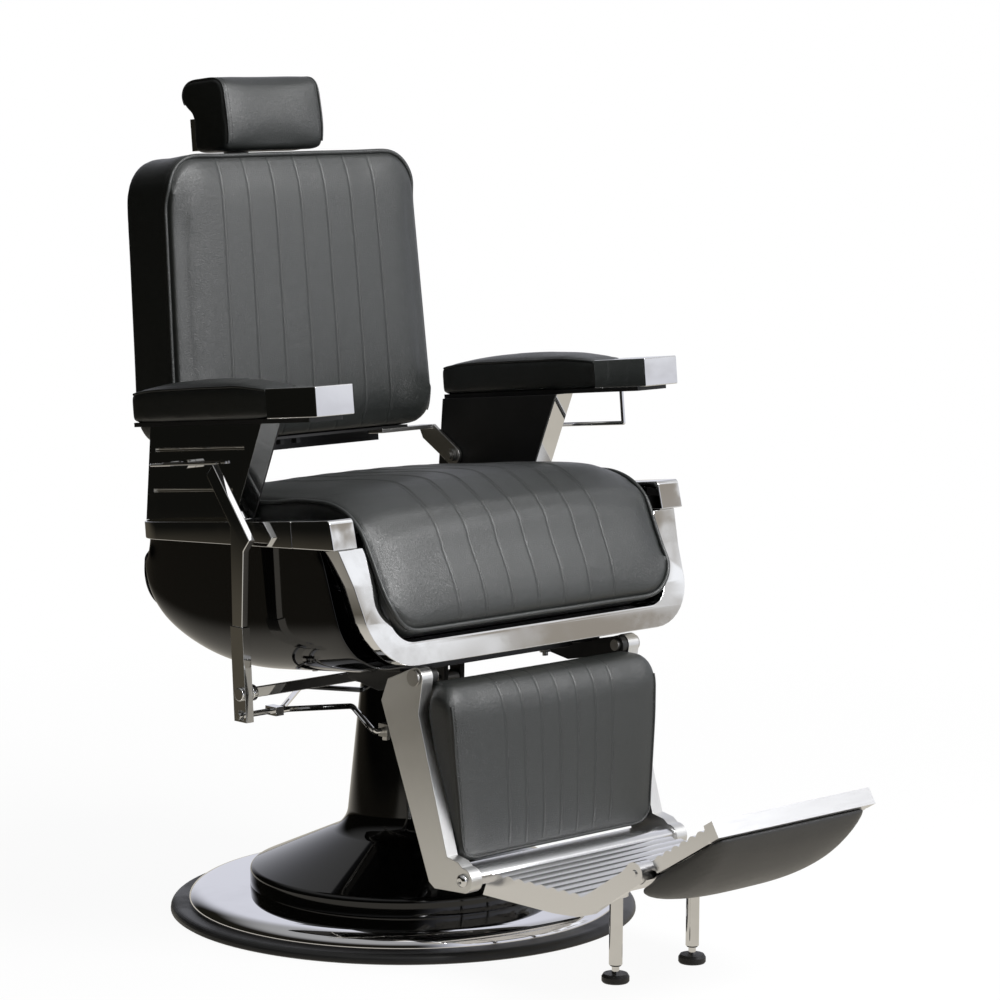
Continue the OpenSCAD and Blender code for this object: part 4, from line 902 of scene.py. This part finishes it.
def piping_mesh(tree, path, radius, proud=0.35, pitch=0.006):
    """A cord that lies on the cover along a path, swept by a curve and made a mesh."""
    snapped = []
    for point in resampled(path, pitch):
        place, normal, _, _ = tree.find_nearest(point)
        snapped.append(place + normal * radius * proud)
    for _ in range(6):
        snapped = relaxed(snapped)
    curve = bpy.data.curves.new("piping", "CURVE")
    curve.dimensions = "3D"
    curve.bevel_depth, curve.bevel_resolution = radius, 3
    curve.use_fill_caps = True
    spline = curve.splines.new("POLY")
    spline.points.add(len(snapped) - 1)
    for spot, place in zip(spline.points, snapped):
        spot.co = (*place, 1)
    return evaluated_mesh(linked_object("working_copy", curve))


def sink_beside(mesh, piping, depth=1.6, reach=4.5):
    """Draw the cover in along a piping, so that the cord lies in a narrow valley."""
    cord = vertex_array(piping)
    finder = KDTree(len(cord))
    for number, place in enumerate(cord):
        finder.insert(place, number)
    finder.balance()
    far = np.array([finder.find(place)[2] for place in vertex_array(mesh)]) * 1000
    press_in(mesh, depth * np.exp(-(far / reach) ** 2))


def stitch_mesh(tree, paths, pitch=0.0042, length=0.0026, thick=0.00042):
    """Short thread lengths that dip into the cover at both ends, along each path."""
    bm = bmesh.new()
    for path in paths:
        spots = resampled(path, pitch)
        for here, ahead in zip(spots, spots[1:]):
            place, normal, _, _ = tree.find_nearest(here)
            along = (ahead - here).normalized()
            across_line = normal.cross(along).normalized()
            turn = Matrix((along, across_line, normal)).transposed().to_4x4()
            size = Matrix.Diagonal((length / 2, thick, thick, 1))
            bmesh.ops.create_icosphere(
                bm, subdivisions=1, radius=1,
                matrix=Matrix.Translation(place + normal * thick * 0.4) @ turn @ size)
    return mesh_from(bm)


# %% [markdown]
# ## Rounding a section
# The sections of a cushion are short lists of points. A closed Catmull-Rom curve through them
# gives the loft an even flow. The centripetal kind is used, because it never loops where a
# long span meets a short one.

# %% Curved sections
def curved(points, steps=4):
    flat = [Vector(p).to_3d() for p in points]
    count, made = len(flat), []
    for i in range(count):
        a, b, c, d = [flat[(i + k) % count] for k in (-1, 0, 1, 2)]
        k0, k1 = 0.0, (b - a).length ** 0.5
        k2 = k1 + (c - b).length ** 0.5
        k3 = k2 + (d - c).length ** 0.5
        for step in range(steps):
            t = between(k1, k2, step / steps)
            ab, bc, cd = (a.lerp(b, (t - k0) / (k1 - k0)), b.lerp(c, (t - k1) / (k2 - k1)),
                          c.lerp(d, (t - k2) / (k3 - k2)))
            abc = ab.lerp(bc, (t - k0) / (k2 - k0))
            bcd = bc.lerp(cd, (t - k1) / (k3 - k1))
            made.append(abc.lerp(bcd, (t - k1) / (k2 - k1)))
    return made


def section_ring(x, pairs):
    """A ring in the plane x, through (depth, height) pairs, all in millimetres."""
    return [mm(x, p.x, p.y) for p in curved(pairs)]


def pad_rings(section, half, corner):
    return [section_ring(x, section(x)) for x in across(half, corner)]


# %% Sewn lines
PIPING_RADIUS, SEAM_RADIUS = 0.0032, 0.0017
PANEL_LINES, THREAD_SIDES = [-150, -100, -50, 0, 50, 100, 150], (-2.6, 2.6)


def seam_rows(mesh, lines, half):
    """Cut two rows of edges beside each line, so that a narrow seam has points to move."""
    bm = bmesh_from(mesh)
    for line in lines:
        for side in (-half, half):
            near = [f for f in bm.faces if abs(1000 * f.calc_center_median().x - line) < 8]
            parts = {v for f in near for v in f.verts} | {e for f in near for e in f.edges}
            bmesh.ops.bisect_plane(bm, geom=list(parts) + near, dist=1e-6,
                                   plane_co=mm(line + side, 0, 0), plane_no=(1, 0, 0))
    bm.to_mesh(mesh)
    bm.free()


def ramp(values, start, end):
    t = np.clip((values - start) / (end - start), 0, 1)
    return t * t * (3 - 2 * t)


def sewn_cushion(rings, cell, cap, hold, lines, face, narrowing, half=1.1):
    """Foam with sewn lines pressed in, bent to its place, and the tree of its surface."""
    mesh = foam(rings, cell, cap, hold)
    seam_rows(mesh, lines, half)
    press_lines(mesh, lines, face)
    set_points(mesh, narrowing(vertex_array(mesh)))
    return mesh, surface_tree(mesh)


def mirrored_path(half, bridge, narrowing):
    """Along half of an edge, over a bridge in the middle, and back along the other half."""
    loop = half + bridge + [(-x, v, w) for x, v, w in reversed(half)]
    return [Vector(p) for p in narrowing(np.array(loop) * 0.001)]


def line_paths(lines, sides, pairs, narrowing):
    """Paths beside the sewn lines in a piece's own frame, through (depth, height) pairs."""
    return [[Vector(p) for p in narrowing(np.array([(line + side, a, b) for a, b in pairs])
                                          * 0.001)] for line in lines for side in sides]


def foam_piece(name, mesh, body, stands_for, frame_of=SEAT_FRAME, material=LEATHER):
    piece = finished_piece(name, mesh, material, body, (stands_for,), frame_of)
    print(name, len(mesh.polygons), "faces")


def cord_piece(name, mesh, body, frame_of=SEAT_FRAME):
    """A piping or a raised seam, which is solid leather all through."""
    piece = finished_piece(name, mesh, LEATHER, body, (), frame_of)


def thread_piece(name, mesh, body, frame_of=SEAT_FRAME):
    finished_piece(name, mesh, THREAD, body, (), frame_of)


def panelled_cushion(body, mesh, tree, edge, run, narrowing):
    """Pipe the panel's edge, stitch both sides of its sewn lines, and finish the pieces."""
    piping = piping_mesh(tree, edge, PIPING_RADIUS)
    sink_beside(mesh, piping)
    thread = stitch_mesh(tree, line_paths(PANEL_LINES, THREAD_SIDES, run, narrowing))
    foam_piece(body + "_leather", mesh, body, body + "_cushion")
    cord_piece(body + "_piping", piping, body)
    thread_piece(body + "_stitches", thread, body)


# %% [markdown]
# ## The seat cushion
# The seat is a thick cushion that rolls over its front edge and falls into the band. Its top
# is crowned, its back half narrows to fit between the arm posts, and seven sewn lines run from
# the back over the front. A corded piping follows the edge of the sewn panel all the way
# round the front, and below it plain boxing goes down into the band.

# %% Seat cushion
PAN_TOP = -10
SEAT_HALF, SEAT_EDGE, SEAT_LOW, SEAT_BACK, SEAT_CORNER = 270, 24, -161, 171, 46
SEAT_CELL, SEAT_SWELL = 0.005, 0.006


def seat_section(x):
    share = abs(x) / SEAT_HALF
    rise = 13 * (1 - share ** 2.4)
    out = 5 * (1 - share ** 2.4)
    cut = corner_cut(x, SEAT_HALF, SEAT_CORNER)
    top, low = SEAT_EDGE + rise, SEAT_LOW + cut
    return [(SEAT_BACK, PAN_TOP), (SEAT_BACK + 3, 4), (SEAT_BACK - 2, SEAT_EDGE - 6 + rise * 0.2),
            (SEAT_BACK - 16, SEAT_EDGE + rise * 0.5), (100, top), (0, top), (-90, top + 1),
            (-150 - out, top - 4), (-182 - out, top - 15), (-204 - out, top - 34),
            (-217 - out, top - 58), (-227 - out, -58), (-237 - out, -84),
            (-246 - out, -112 + cut * 0.2), (-254 - out * 0.7, low + 15),
            (-251 - out * 0.3, low + 4), (-240, low), (-214, low + 1), (-205.5, low + 14),
            (-205.5, -60), (-205, -30), (-201, -14), (-190, PAN_TOP), (-40, PAN_TOP)]


def seat_narrowing(points):
    """The front narrows with the band, and the back half fits between the posts."""
    depth, height = 1000 * points[:, 1], 1000 * points[:, 2]
    low = 1 - 0.022 * np.clip((-55 - height) / 90, 0, 1)
    edge = ramp(np.abs(1000 * points[:, 0]), 155, 240)
    back = 1 - 0.060 * ramp(depth, -120, -10) * edge
    points[:, 0] *= low * back
    return points


def seat_hold(points, facing):
    """How far the foam may swell: freely on the sewn faces, less at the sides and below."""
    up = np.clip(facing[:, 2], 0, 1)
    front = np.clip(-facing[:, 1], 0, 1)
    side = 1 - 0.75 * np.abs(facing[:, 0])
    rests = ramp(1000 * points[:, 2], PAN_TOP - 2, PAN_TOP + 16)
    hangs = ramp(-1000 * points[:, 1], 206, 226)
    return np.clip(up + front, 0, 1) * side * np.maximum(rests, hangs) + 0.08 * rests


def sewn_face(points, facing):
    above = ramp(facing[:, 2] - facing[:, 1], 0.35, 0.7)
    return above * ramp(1000 * points[:, 2], SEAT_LOW + 2, SEAT_LOW + 12)


def seat_edge_path():
    """Round the sewn panel: forward along one side, down, across the bottom and back."""
    side = [(150, 22), (60, 22), (-90, 23), (-150, 19), (-184, 6), (-208, -16), (-224, -44),
            (-236, -78), (-248, -112)]
    near = [(-SEAT_HALF, v, w) for v, w in side]
    turn = [(x, -258, w) for x, w in
            arc_points(-SEAT_HALF + SEAT_CORNER, -113, SEAT_CORNER, 190, 270, 8)]
    bridge = [(-150, -260, SEAT_LOW), (0, -262, SEAT_LOW), (150, -260, SEAT_LOW)]
    return mirrored_path(near + turn, bridge, seat_narrowing)


SEAT_RUN = [(150, 40), (100, 45), (0, 45), (-90, 46), (-155, 40), (-190, 26), (-212, 5),
            (-226, -20), (-240, -60), (-248, -95), (-262, -130), (-266, -144)]

seat_mesh, seat_tree = sewn_cushion(
    pad_rings(seat_section, SEAT_HALF, SEAT_CORNER), SEAT_CELL, SEAT_SWELL, seat_hold,
    PANEL_LINES, sewn_face, seat_narrowing)
panelled_cushion("seat", seat_mesh, seat_tree, seat_edge_path(), SEAT_RUN, seat_narrowing)

# %% [markdown]
# ## The back cushion
# The back is a thick pad with the same seven sewn lines. Its front panel is framed by piping
# up both sides and across the top, and at the bottom the panel simply rolls under. The sides
# are plain boxing, so the foam may only swell a little there.

# %% Back cushion
BACK_FRONT, BACK_DEEP, BACK_LOW, BACK_HIGH = 186, 112, 97, 502
BACK_HALF, BACK_TOP_HALF, BACK_CORNER = 242, 229, 50
BACK_CELL, BACK_SWELL = 0.005, 0.007


def back_section(x):
    share = abs(x) / BACK_HALF
    low = BACK_LOW + corner_cut(x, BACK_HALF, 40)
    high = BACK_HIGH + 1.5 * (1 - share * share) - corner_cut(x, BACK_HALF, BACK_CORNER)
    deep = BACK_DEEP * (1 - 0.1 * share ** 8)
    end = BACK_FRONT + deep
    face = crowned_face(lambda z: BACK_FRONT, 4.5, share, low + 12, high - 7)
    rear = [(BACK_FRONT + 5, high), (BACK_FRONT + 20, high), (BACK_FRONT + deep * 0.5, high - 2),
            (end - 18, high - 2), (end - 4, high - 10), (end, high - 26),
            (end, between(low, high, 0.66)), (end, between(low, high, 0.33)), (end, low + 26),
            (end - 4, low + 8), (end - 18, low), (BACK_FRONT + deep * 0.5, low),
            (BACK_FRONT + 22, low), (BACK_FRONT + 6, low + 3)]
    return face + rear


def back_narrowing(points):
    """The back is a little wider at its foot than at its head."""
    share = (1000 * points[:, 2] - BACK_LOW) / (BACK_HIGH - BACK_LOW)
    points[:, 0] *= 1 + (BACK_TOP_HALF / BACK_HALF - 1) * share
    return points


def back_hold(points, facing):
    front = np.clip(-facing[:, 1], 0, 1)
    return front * (1 - 0.6 * np.abs(facing[:, 0])) + 0.12 * (1 - front) * (facing[:, 1] < 0.3)


def back_face(points, facing):
    return ramp(-facing[:, 1], 0.2, 0.6)


def back_edge_path():
    """Up one side of the front panel, across the top and down the other side."""
    side = [(-BACK_HALF, BACK_FRONT + 12, w) for w in (112, 130, 160, 220, 300, 380, 440)]
    turn = [(x, BACK_FRONT + 4, w) for x, w in
            arc_points(-BACK_HALF + BACK_CORNER, BACK_HIGH - BACK_CORNER, BACK_CORNER, 180, 90, 10)]
    bridge = [(x, BACK_FRONT + 2, BACK_HIGH + 1) for x in (-120, 0, 120)]
    return mirrored_path(side + turn, bridge, back_narrowing)


BACK_RUN = [(BACK_FRONT - 20, w) for w in range(112, 500, 20)]

back_mesh, back_tree = sewn_cushion(
    pad_rings(back_section, BACK_HALF, BACK_CORNER), BACK_CELL, BACK_SWELL, back_hold,
    PANEL_LINES, back_face, back_narrowing)
panelled_cushion("back", back_mesh, back_tree, back_edge_path(), BACK_RUN, back_narrowing)

# %% [markdown]
# ## The headrest
# The headrest is a small pad whose cover runs over a roll behind its top. The front panel is
# joined to two end panels by a raised seam, with a row of stitches just inside it. The loft
# runs from end to end, and the end sections shrink a little so that the ends are domed.

# %% Headrest
HEAD_HALF, HEAD_FRONT, HEAD_DEEP, HEAD_TALL, HEAD_LOW = 92, 222, 100, 104.5, 509.2
HEAD_SEAM, HEAD_STITCHES = 89, 82


def head_section():
    high, rear = HEAD_LOW + HEAD_TALL, HEAD_FRONT + HEAD_DEEP
    made = [(HEAD_FRONT + 8, HEAD_LOW + 0.5), (HEAD_FRONT + 1, HEAD_LOW + 9),
            (HEAD_FRONT - 1, HEAD_LOW + 0.35 * HEAD_TALL),
            (HEAD_FRONT + 2, HEAD_LOW + 0.7 * HEAD_TALL)]
    made += arc_points(HEAD_FRONT + 22, high - 19, 19, 180, 90, 4)
    made += [(rear - 46, high), (rear - 28, high), (rear - 14, high - 2.5)]
    made += arc_points(rear - 19, high - 21, 18, 45, -55, 4)
    made += [(rear - 17, high - 43), (rear - 24.5, high - 52), (rear - 25, HEAD_LOW + 30),
             (rear - 25, HEAD_LOW + 12), (rear - 30, HEAD_LOW + 1), (HEAD_FRONT + 40, HEAD_LOW)]
    return made


def head_ring(x, share):
    middle = (HEAD_FRONT + HEAD_DEEP * 0.42, HEAD_LOW + HEAD_TALL * 0.5)
    return section_ring(x, [(between(middle[0], a, share), between(middle[1], b, share))
                            for a, b in head_section()])


def head_hold(points, facing):
    front = np.clip(-facing[:, 1] + 0.5 * facing[:, 2], 0, 1)
    ends = 0.35 * np.abs(facing[:, 0])
    return np.clip(front + ends, 0, 1) * ramp(1000 * points[:, 2], HEAD_LOW, HEAD_LOW + 12)


HEAD_ENDS = [(-1.0, 0.93), (-0.985, 0.965), (-0.95, 0.99), (-0.88, 1.0)]
head_stations = HEAD_ENDS + [(i / 10, 1.0) for i in range(-8, 9)] \
    + [(-x, s) for x, s in reversed(HEAD_ENDS)]
head_mesh = foam([head_ring(HEAD_HALF * x, s) for x, s in head_stations],
                 cell=0.004, cap=0.004, hold=head_hold)
head_tree = surface_tree(head_mesh)


def round_the_head(x):
    """The outline of the headrest at x, from the foot of its front to the back of its roll."""
    outline = curved(head_section()[1:18], 3)[:-6]
    return [mm(x, p.x, p.y) for p in outline]


head_seams = [piping_mesh(head_tree, round_the_head(side * HEAD_SEAM), SEAM_RADIUS, proud=0.5,
                          pitch=0.004) for side in (-1, 1)]
head_thread = stitch_mesh(head_tree, [round_the_head(side * HEAD_STITCHES) for side in (-1, 1)])
foam_piece("headrest_leather", head_mesh, "headrest", "headrest_cushion")
for side, seam in zip(("right", "left"), head_seams):
    cord_piece("headrest_seam_" + side, seam, "headrest")
thread_piece("headrest_stitches", head_thread, "headrest")

# %% [markdown]
# ## The arm pads
# Each arm pad is a long narrow cushion on a board, crowned from side to side and fullest a
# third of the way back. A raised seam runs along both edges, where the top panel meets the
# band of leather down its side. Both pads come from one mesh, and the left one is its mirror.

# %% Arm pads
ARM_X, ARM_FRONT, ARM_BACK, ARM_HALF, ARM_BASE, CAP_HIGH = 307, -116.5, 191.5, 35, 136.3, 40


def arm_middle(v):
    return -ARM_X + 15 * max(0.0, (v + 117) / 309)


def arm_height(v):
    t = min(1.0, max(0.0, (v - ARM_FRONT) / (ARM_BACK - ARM_FRONT)))
    edge = between(CAP_HIGH - 1, 45, min(1, t * 5)) - 6 * t ** 10
    crown = 9 * (0.1 if t < 0.03 else math.sin(math.pi * min(1, 0.08 + t * 0.92)) ** 0.6)
    return t, edge, edge + crown - 2


def arm_section(v):
    t, edge, top = arm_height(v)
    half = ARM_HALF - 6 * abs(2 * t - 1) ** 8
    side = [(half - 6, 0), (half - 0.5, 4), (half, edge * 0.3), (half, edge * 0.6),
            (half, edge - 8), (half - 2, edge - 1), (half * 0.8, between(edge, top, 0.5)),
            (half * 0.4, between(edge, top, 0.9))]
    ring = [(-x, w) for x, w in side] + [(0, top)] + side[::-1]
    return [mm(arm_middle(v) + p.x, v, ARM_BASE + p.y) for p in curved(ring, 3)]


def arm_hold(points, facing):
    above = np.clip(facing[:, 2], 0, 1) * ramp(1000 * points[:, 1], ARM_FRONT + 4, ARM_FRONT + 30)
    return above + 0.15 * np.abs(facing[:, 0])


def arm_edge_path(side):
    places = [ARM_FRONT + 3 + i * (ARM_BACK - ARM_FRONT - 8) / 16 for i in range(17)]
    return [mm(arm_middle(v) + side * (ARM_HALF + 1 - 6 * abs(2 * arm_height(v)[0] - 1) ** 8), v,
               ARM_BASE + arm_height(v)[1] + 1) for v in places]


arm_stations = [ARM_FRONT + (ARM_BACK - ARM_FRONT) * (i / 22) ** 0.95 for i in range(23)]
arm_mesh = foam([arm_section(v) for v in arm_stations], cell=0.004, cap=0.004, hold=arm_hold)
arm_tree = surface_tree(arm_mesh)
arm_seams = [piping_mesh(arm_tree, arm_edge_path(side), 0.0019, proud=0.4, pitch=0.005)
             for side in (-1, 1)]


def mirrored_mesh(mesh):
    bm = bmesh_from(mesh)
    bmesh.ops.transform(bm, matrix=Matrix.Scale(-1, 4, (1, 0, 0)), verts=bm.verts)
    bmesh.ops.reverse_faces(bm, faces=bm.faces)
    return mesh_from(bm)


for side, turn in (("left", mirrored_mesh), ("right", lambda mesh: mesh)):
    foam_piece("arm_leather_" + side, turn(arm_mesh), "seat", "arm_pad_" + side)
    for number, seam in enumerate(arm_seams):
        cord_piece(f"arm_seam_{side}_{number + 1}", turn(seam), "seat")

# %% [markdown]
# ## The leg rest pad
# The pad hangs in front of the leg arms and hides them: wide at the top, where it is thinner
# beside the arms, and narrow enough at the foot to drop between them. Its front rolls over at
# the top, and seven sewn lines go over with it. A raised seam and a row of stitches follow the
# edge down one side, across the foot and up the other.

# %% Leg pad
LEG_LOW, LEG_HIGH, LEG_HALF, LEG_LOW_HALF, LEG_CORNER = 143.5, 381, 201, 181, 26
LEG_CELL, LEG_SWELL = 0.0045, 0.004
LEG_LINES = [-105, -70, -35, 0, 35, 70, 105]
RIM_STOP = 22


def leg_front(z):
    return -304 - 7 * (LEG_HIGH - z) / (LEG_HIGH - LEG_LOW)


def leg_wide(z):
    return between(LEG_LOW_HALF, LEG_HALF, (z - LEG_LOW) / (LEG_HIGH - LEG_LOW)) / LEG_HALF


def leg_rear(x, z):
    """The rear face follows the board, and steps forward past the front edge of the arms."""
    board = -between(276, 243, (z - 150) / 226)
    arm = -253.5 - 57 * (340 - min(z, 330)) / 183
    arm = between(arm, -262, eased_step((z - 330) / 30))
    return between(board, arm, eased_step((abs(x) * leg_wide(z) - 181) / 5))


def leg_section(x):
    share = abs(x) / LEG_HALF
    cut = corner_cut(x, LEG_HALF, LEG_CORNER)
    low, high = LEG_LOW + cut, LEG_HIGH - cut
    face = crowned_face(leg_front, 2.5, share, low + 4, high - 30)
    top = leg_front(high)
    heights = [high - 1, high - 12] + [between(low, high, t) for t in (0.7, 0.35)] + [low + 8]
    rear = [(leg_rear(x, z) - (9 if i == 0 else 0), z) for i, z in enumerate(heights)]
    return (face + [(top + 2.5, high - 17), (top + 8, high - 7), (top + 17, high - 1.5),
                    (between(top + 17, rear[0][0], 0.6), high)]
            + rear + [(between(top - 7, rear[-1][0], 0.7), low), (top - 3, low + 0.5)])


def leg_narrowing(points):
    share = (1000 * points[:, 2] - LEG_LOW) / (LEG_HIGH - LEG_LOW)
    points[:, 0] *= LEG_LOW_HALF / LEG_HALF + (1 - LEG_LOW_HALF / LEG_HALF) * share
    return points


def leg_hold(points, facing):
    return np.clip(-facing[:, 1], 0, 1) * (1 - 0.6 * np.abs(facing[:, 0]))


def leg_rim(inset):
    """An open path down one side of the front, across its foot and up the other side."""
    half, reach, low = LEG_HALF - inset, LEG_CORNER - inset * 0.6, LEG_LOW + inset
    made = [(-half, z) for z in range(LEG_HIGH - RIM_STOP, int(low + reach) + 8, -12)]
    made += arc_points(-half + reach, low + reach, reach, 180, 270, 6)
    made += arc_points(half - reach, low + reach, reach, 270, 360, 6)
    made += [(half, z) for z in range(int(low + reach) + 8, LEG_HIGH - RIM_STOP, 12)]
    points = np.array([(x, leg_front(z) - 6, z) for x, z in made]) * 0.001
    return [Vector(p) for p in leg_narrowing(points)]


LEG_RUN = ([(leg_front(z) - 8, z) for z in range(164, 352, 10)]
           + [(-306, 362), (-302, 372), (-296, 379), (-286, 384)])


def leg_face(points, facing):
    above = ramp(facing[:, 2] - facing[:, 1], 0.35, 0.7)
    return above * ramp(1000 * points[:, 2], LEG_LOW + 10, LEG_LOW + 16)


leg_mesh, leg_tree = sewn_cushion(
    pad_rings(leg_section, LEG_HALF, 30), LEG_CELL, LEG_SWELL, leg_hold, LEG_LINES, leg_face,
    leg_narrowing, half=0.9)
leg_seam = piping_mesh(leg_tree, leg_rim(0.5), SEAM_RADIUS, proud=0.3, pitch=0.005)
leg_thread = stitch_mesh(leg_tree, [leg_rim(7)], pitch=0.0052, length=0.0032, thick=0.0006)
leg_lines_thread = stitch_mesh(leg_tree, line_paths(LEG_LINES, (2.4,), LEG_RUN, leg_narrowing))
foam_piece("leg_leather", leg_mesh, "leg_rest", "leg_pad", LEVEL_FRAME)
cord_piece("leg_seam", leg_seam, "leg_rest", LEVEL_FRAME)
thread_piece("leg_rim_stitches", leg_thread, "leg_rest", LEVEL_FRAME)
thread_piece("leg_line_stitches", leg_lines_thread, "leg_rest", LEVEL_FRAME)

# %% [markdown]
# ## Small metal parts at the toe hinge
# The footplate's sheet laps over its barrel and stops just under the pad, so there is no slot
# to look through. The pins at the foot of the leg arms end in button heads with a hexagonal
# socket, lofted from circles that change to a hexagon at the mouth of the socket.

# %% Footplate lip
LIP_TOP = [(-354, 134.4), (-351, 138.2), (-346, 141.4), (-340, 142.4), (-328, 142.2),
           (-300, 140.0), (-298, 138.4)]
lip_outline = LIP_TOP + [(-300, 138.0), (-328, 140.2), (-340, 140.4), (-345, 139.4),
                         (-348.4, 136.6), (-350, 134.0)]
lip = lofted([[mm(x, y, z) for y, z in lip_outline] for x in (-183, -60, 60, 183)])
metal_piece("footplate_lip", lip, ALUMINIUM, "footplate")


# %% Button heads
PIN_END = (206.2, -340, 130)
DOME = [(8.4, -0.4), (9.0, 0.4), (8.91, 1.8), (8.37, 3.3), (7.2, 4.7), (5.58, 5.7), (4.5, 6.1)]
SOCKET = [(3.24, 6.1), (3.06, 5.7), (3.06, 3.3)]


def pin_head_ring(side, radius, out, hexagon):
    """A circle or a hexagon round the pin, that far out along x on its side."""
    x, y, z = PIN_END
    made = []
    for i in range(48):
        turn = 2 * math.pi * i / 48
        fold = (turn + math.pi / 6) % (math.pi / 3) - math.pi / 6
        r = radius / math.cos(fold) if hexagon else radius
        made.append(mm(side * (x + out), y + r * math.cos(turn), z + r * math.sin(turn)))
    return made


heads = bmesh.new()
for side in (-1, 1):
    rings = [pin_head_ring(side, *ring, False) for ring in DOME]
    rings += [pin_head_ring(side, *ring, True) for ring in SOCKET]
    heads.from_mesh(mesh_from(lofted(rings)))
bmesh.ops.recalc_face_normals(heads, faces=heads.faces)
metal_piece("toe_pin_heads", heads, CHROME, "leg_rest")

# %% [markdown]
# ## The flip plate's pad
# Under the flip plate hangs a smooth black pad, full in the middle and thin at its ends, so
# that calves rest on it when the plate is turned over. It has no sewn lines, and its cover is
# a plainer, shinier vinyl.

# %% Flip pad
FLIP_HALF, FLIP_TOP = 147, -12.3


def flip_section(x):
    share = abs(x) / FLIP_HALF
    cut = corner_cut(x, FLIP_HALF, 24)
    full = 1 - 0.42 * share ** 3 - cut / 90
    u0, u1 = -27.5 + cut * 0.7, 140 - cut * 0.7
    deep = [(0.9, 11), (0.75, 24), (0.58, 33), (0.4, 36), (0.22, 33), (0.08, 25.5)]
    made = [(-u1, FLIP_TOP)] + [(-between(u0, u1, t), -15 - d * full) for t, d in deep]
    return made + [(-u0, -15 - 15 * full), (-u0 - 2, -15 - 6 * full), (-u0 - 20, -16.8),
                   (-u0 - 36, FLIP_TOP - 0.3), (-80, FLIP_TOP - 0.2), (-115, FLIP_TOP)]


def flip_hold(points, facing):
    return np.clip(-facing[:, 2], 0, 1)


flip_mesh = foam(pad_rings(flip_section, FLIP_HALF, 34), cell=0.0045, cap=0.004, hold=flip_hold)
foam_piece("flip_leather", flip_mesh, "flip_plate", "flip_pad", FLIP_FRAME, VINYL)
